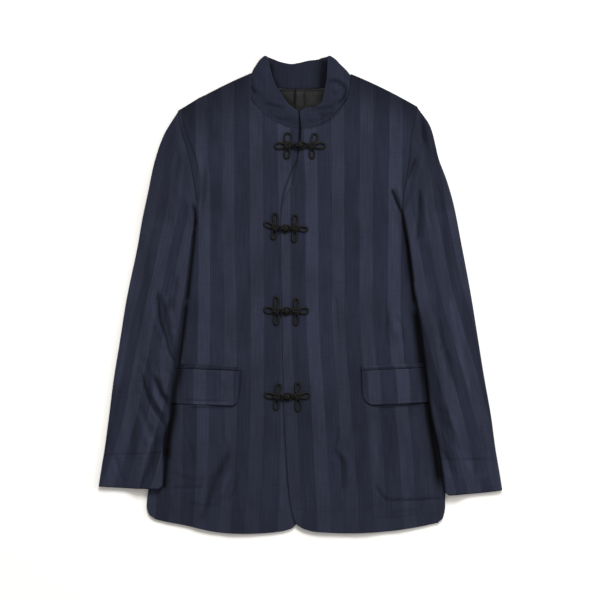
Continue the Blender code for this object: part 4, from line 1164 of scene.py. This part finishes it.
def closure_half(number, kind, x, y, outer, upper, lower, petals, seed):
    """A woven rosette with three petals, and the stem with the knotted button or the loop for it."""
    rows = FRONT_RIGHT if kind == "knot" else FRONT_LEFT
    panel = float(plain_height(rows, np.array([x]), np.array([y]))[0][0])
    flower = np.array([x, y, 0.0])
    button = np.array([*KNOTS[number - 1], 0.0])
    reach = float(np.linalg.norm(button - flower))
    toward = (button - flower) / reach
    heading = math.atan2(toward[1], toward[0])
    rng = np.random.default_rng(seed)
    parts = []

    def cord(columns, angle, centre, radius, closed=True, **kwargs):
        """A cord through the columns x, y and z, turned and put at a centre."""
        parts.append(sweep(turned(joined(*columns), angle) + centre, radius, closed, **kwargs))

    # each cord's level is painted shade over the whole cord, none at 1 and much at 0.32
    # rosette: a ring, and over it a flat five-lobed knot of two turns round a filled middle
    spin = rng.uniform(0, 6)
    around = np.linspace(0, 4 * np.pi, 150, endpoint=False)
    radius = 3.4 + 1.6 * np.cos(2.5 * around)
    height = panel + GAP + 3.5 + 0.9 * np.sin(2.5 * around)
    cord((radius * np.cos(around), radius * np.sin(around), height), spin, flower, WEAVE_CORD, sides=10,
         level=0.95)
    around = np.linspace(0, 2 * np.pi, 60, endpoint=False)
    height = panel + GAP + 2.7 + 0.4 * np.cos(5 * around + spin)
    cord((5.1 * np.cos(around), 5.1 * np.sin(around), height), 0.0, flower, RING_CORD, sides=10, level=0.32)
    parts.append(filling((x, y, panel + GAP + 2.4), (5.0, 5.0, 2.2)))
    # petals
    outward = 180 if kind == "knot" else 0
    for angle, (length, wide) in zip((90 + upper, outward + outer, 270 + lower), petals):
        phase = np.linspace(0, 2 * np.pi, 72, endpoint=False)
        tip, root = length - PETAL_CORD, 3.6
        over, beside = np.cos(phase), np.sin(phase)
        along = (tip + root) / 2 + (tip - root) / 2 * over
        across = (0.6 * wide - PETAL_CORD) * np.sign(beside) * np.abs(beside) ** 0.85 * (0.86 + 0.14 * over)
        bow = rng.uniform(-0.6, 0.6) * ((along - 6) / 16) ** 2
        level = panel + 0.9 + 0.9 * bell(along - 5.5, 3) + 0.15 * np.sin(phase + spin)
        cord((along, across + bow, level), math.radians(angle), flower, PETAL_CORD)
    lap = OVERLAP_TOP + GAP
    if kind == "knot":
        crossing = lap + 3 * LOOP_CORD + 0.5
        for shift in (-1.45, 1.45):
            stem = np.array([(2, shift, panel + 3.4), (reach - 10.5, shift, panel + 4.6),
                             (reach - LOOP - 1.6, 0.9 * shift, crossing - 0.5),
                             (reach - 2, 0.8 * shift, crossing)])
            stem = curve(lengths_of(stem), stem, np.linspace(0, lengths_of(stem)[-1], 34))
            cord(stem.T, heading, flower, LOOP_CORD + 0.3, False, sides=10, level=0.35)
        wound = np.linspace(0, 2 * np.pi, 180, endpoint=False)
        latitude = math.radians(56) * np.sin(4 * wound)
        swing = KNOT + 0.1 + 0.3 * np.sin(8 * wound + 0.6)
        ball = (swing * np.cos(latitude) * np.cos(3 * wound), swing * np.cos(latitude) * np.sin(3 * wound),
                lap + KNOT + 0.75 * swing * np.sin(latitude))
        cord(ball, rng.uniform(0, 6), button, KNOT_CORD, sides=10, level=0.95)
        # fillings painted nearly black as shade: one inside the knot, one flat beneath it
        parts.append(filling((button[0], button[1], lap + KNOT), (4.2, 4.2, 3.2)))
        parts.append(filling((button[0], button[1], lap + 1.4), (5.8, 5.8, 1.4)))
    else:
        phase = np.linspace(0, 2 * np.pi, 96, endpoint=False)
        half = np.where(np.cos(phase) > 0, LOOP, reach - ROSETTE / 2)
        narrow = np.where(np.cos(phase) > 0, 1.0, 1 - 0.62 * np.abs(np.cos(phase)) ** 1.2)
        height = lap + LOOP_CORD + 0.35 * np.maximum(np.cos(phase), 0)
        cord((half * np.cos(phase), LOOP * np.sin(phase) * narrow, height), heading, button,
             LOOP_CORD + 0.3, sides=10, level=0.4)
        for at in (reach * 0.44, reach * 0.6):
            wrap = np.linspace(0, 2 * np.pi, 28, endpoint=False)
            cord((-np.full(28, at), 3.3 * np.cos(wrap), lap + 1.5 + 1.6 * np.sin(wrap)), heading, button,
                 KNOT_CORD, sides=8, twist=2.0, level=0.7)
    piece = corded(f"cord_closure_{number}_{kind}", parts, black_cord)
    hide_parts(f"closure_{number}_{kind}")


for seed, (half, petals) in enumerate(zip(HALVES, PETALS), 900):
    closure_half(*half, petals, seed)

# Stitching

STITCH_PITCH, STITCH_LENGTH, STITCH_RADIUS = 3.1, 2.1, 0.24
STITCH_ARCH = (-0.12, 0.12, 0.17, 0.12, -0.12)


def ground(piece):
    """A tree of a piece's faces, to lay stitches on."""
    mesh = piece.data
    points = [vertex.co for vertex in mesh.vertices]
    return BVHTree.FromPolygons(points, [polygon.vertices[:] for polygon in mesh.polygons])


def seam_line(piece, path):
    """Stitches along a path in millimetres, laid on a piece."""
    tree = ground(piece)
    path = finer(path, 8)
    lengths = lengths_of(path)
    parts = []
    for start in np.arange(0.5, lengths[-1] - STITCH_PITCH, STITCH_PITCH):
        at = start + np.linspace(0, STITCH_LENGTH, len(STITCH_ARCH))
        places = joined(np.interp(at, lengths, path[:, 0]), np.interp(at, lengths, path[:, 1]))
        stitch = []
        for step, (x, y) in enumerate(places):
            hit = tree.ray_cast(Vector((x * MM, y * MM, 0.1)), Vector((0, 0, -1)))[0]
            if hit is None:
                break
            stitch.append((x, y, hit.z / MM + STITCH_ARCH[step]))
        if len(stitch) == len(STITCH_ARCH):
            parts.append(sweep(stitch, STITCH_RADIUS, False, sides=6, twist=1.0, depth=0.0))
    return parts


def offset_line(path, distance):
    """A path moved sideways."""
    path = np.asarray(path, float)
    run = np.gradient(path, axis=0)
    run /= norms(run)
    return path + distance * joined(-run[:, 1], run[:, 0])


def flap_line(outer_x, outer_y, inner_x, inner_y, drop, corner):
    """The seam that runs along a flap's foot and up its inner side."""
    inward = math.copysign(1, inner_x - outer_x)
    foot = inner_y - drop
    return [(outer_x, outer_y - drop + 8), (inner_x - inward * (corner + 6), foot + 8),
            (inner_x - inward * 10, foot + 8 + 0.5 * corner), (inner_x - inward * 7.5, foot + 12 + corner),
            (inner_x - inward * 7, inner_y - 3)]


for name, piece, path in (
        ("cuff_right", sleeve_right, [spot(105, 457.5), spot(134, 458.5), spot(160, 457)]),
        ("cuff_left", sleeve_left, [spot(442, 457), spot(468, 458.5), spot(494, 456.5)]),
        ("hem_right", front_right, [(-240, -330), (-180, -344), (-110, -354), (-60, -357.5), (-28, -358)]),
        ("hem_left", front_left, [(-8, -353), (40, -357.5), (96, -355), (132, -345), (146, -339),
                                  (186, -338), (233, -334.5)]),
        ("armhole_right", front_right, offset_line(FRONT_RIGHT[13:, 0:2], -5.5)),
        ("armhole_left", front_left, offset_line(FRONT_LEFT[13:, 0:2], 5.5)),
        ("flap_right", flap_right, flap_line(*FLAP_RIGHT)), ("flap_left", flap_left, flap_line(*FLAP_LEFT))):
    corded("stitches_" + name, seam_line(piece, path), navy_thread)

# Stage

floor_mesh = bpy.data.meshes.new("floor")
floor_mesh.from_pydata([(-12, -12, -0.0003), (12, -12, -0.0003), (12, 12, -0.0003), (-12, 12, -0.0003)], [],
                       [(0, 1, 2, 3)])
floor_finish = Finish("floor_white", 0.9, 0.1)
floor_finish.inputs["Base Color"].default_value = (0.92, 0.915, 0.905, 1.0)
floor_mesh.materials.append(floor_finish.material)
floor = bpy.data.objects.new("floor", floor_mesh)
bpy.context.collection.objects.link(floor)
floor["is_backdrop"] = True

world = bpy.data.worlds.new("studio")
world.use_nodes = True
world.node_tree.nodes["Background"].inputs["Color"].default_value = (1.0, 0.965, 0.92, 1.0)
world.node_tree.nodes["Background"].inputs["Strength"].default_value = 0.5
bpy.context.scene.world = world


def lamp(name, place, aim, size, power, colour):
    """A soft square light."""
    data = bpy.data.lights.new(name, "AREA")
    data.shape = "SQUARE"
    data.size = size
    data.energy = power
    data.color = colour
    light = bpy.data.objects.new(name, data)
    light.location = place
    light.rotation_euler = (Vector(aim) - Vector(place)).to_track_quat("-Z", "Y").to_euler()
    bpy.context.collection.objects.link(light)


lamp("key", (1.2, 6.8, 6.0), (0, 0, 0), 3.2, 830, (1.0, 0.995, 0.98))
lamp("side", (2.3, 0.5, 1.35), (0, 0, 0), 0.9, 24, (1.0, 0.995, 0.99))

DISTANCE, FRAME_WIDTH = 4.0, 0.9905
camera_data = bpy.data.cameras.new("view")
camera_data.sensor_fit = "HORIZONTAL"
camera_data.sensor_width = 36.0
camera_data.lens = 36.0 * DISTANCE / FRAME_WIDTH
camera_data.clip_end = 60
camera = bpy.data.objects.new("view", camera_data)
camera.location = (-0.00085, -0.0090, DISTANCE + 0.006)
bpy.context.collection.objects.link(camera)
bpy.context.scene.camera = camera
bpy.context.scene.view_settings.view_transform = "Standard"
bpy.context.scene.view_settings.look = "None"

({"cad": [list(corner) for corner in cad_box],
           "visual": [list(corner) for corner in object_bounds()]})
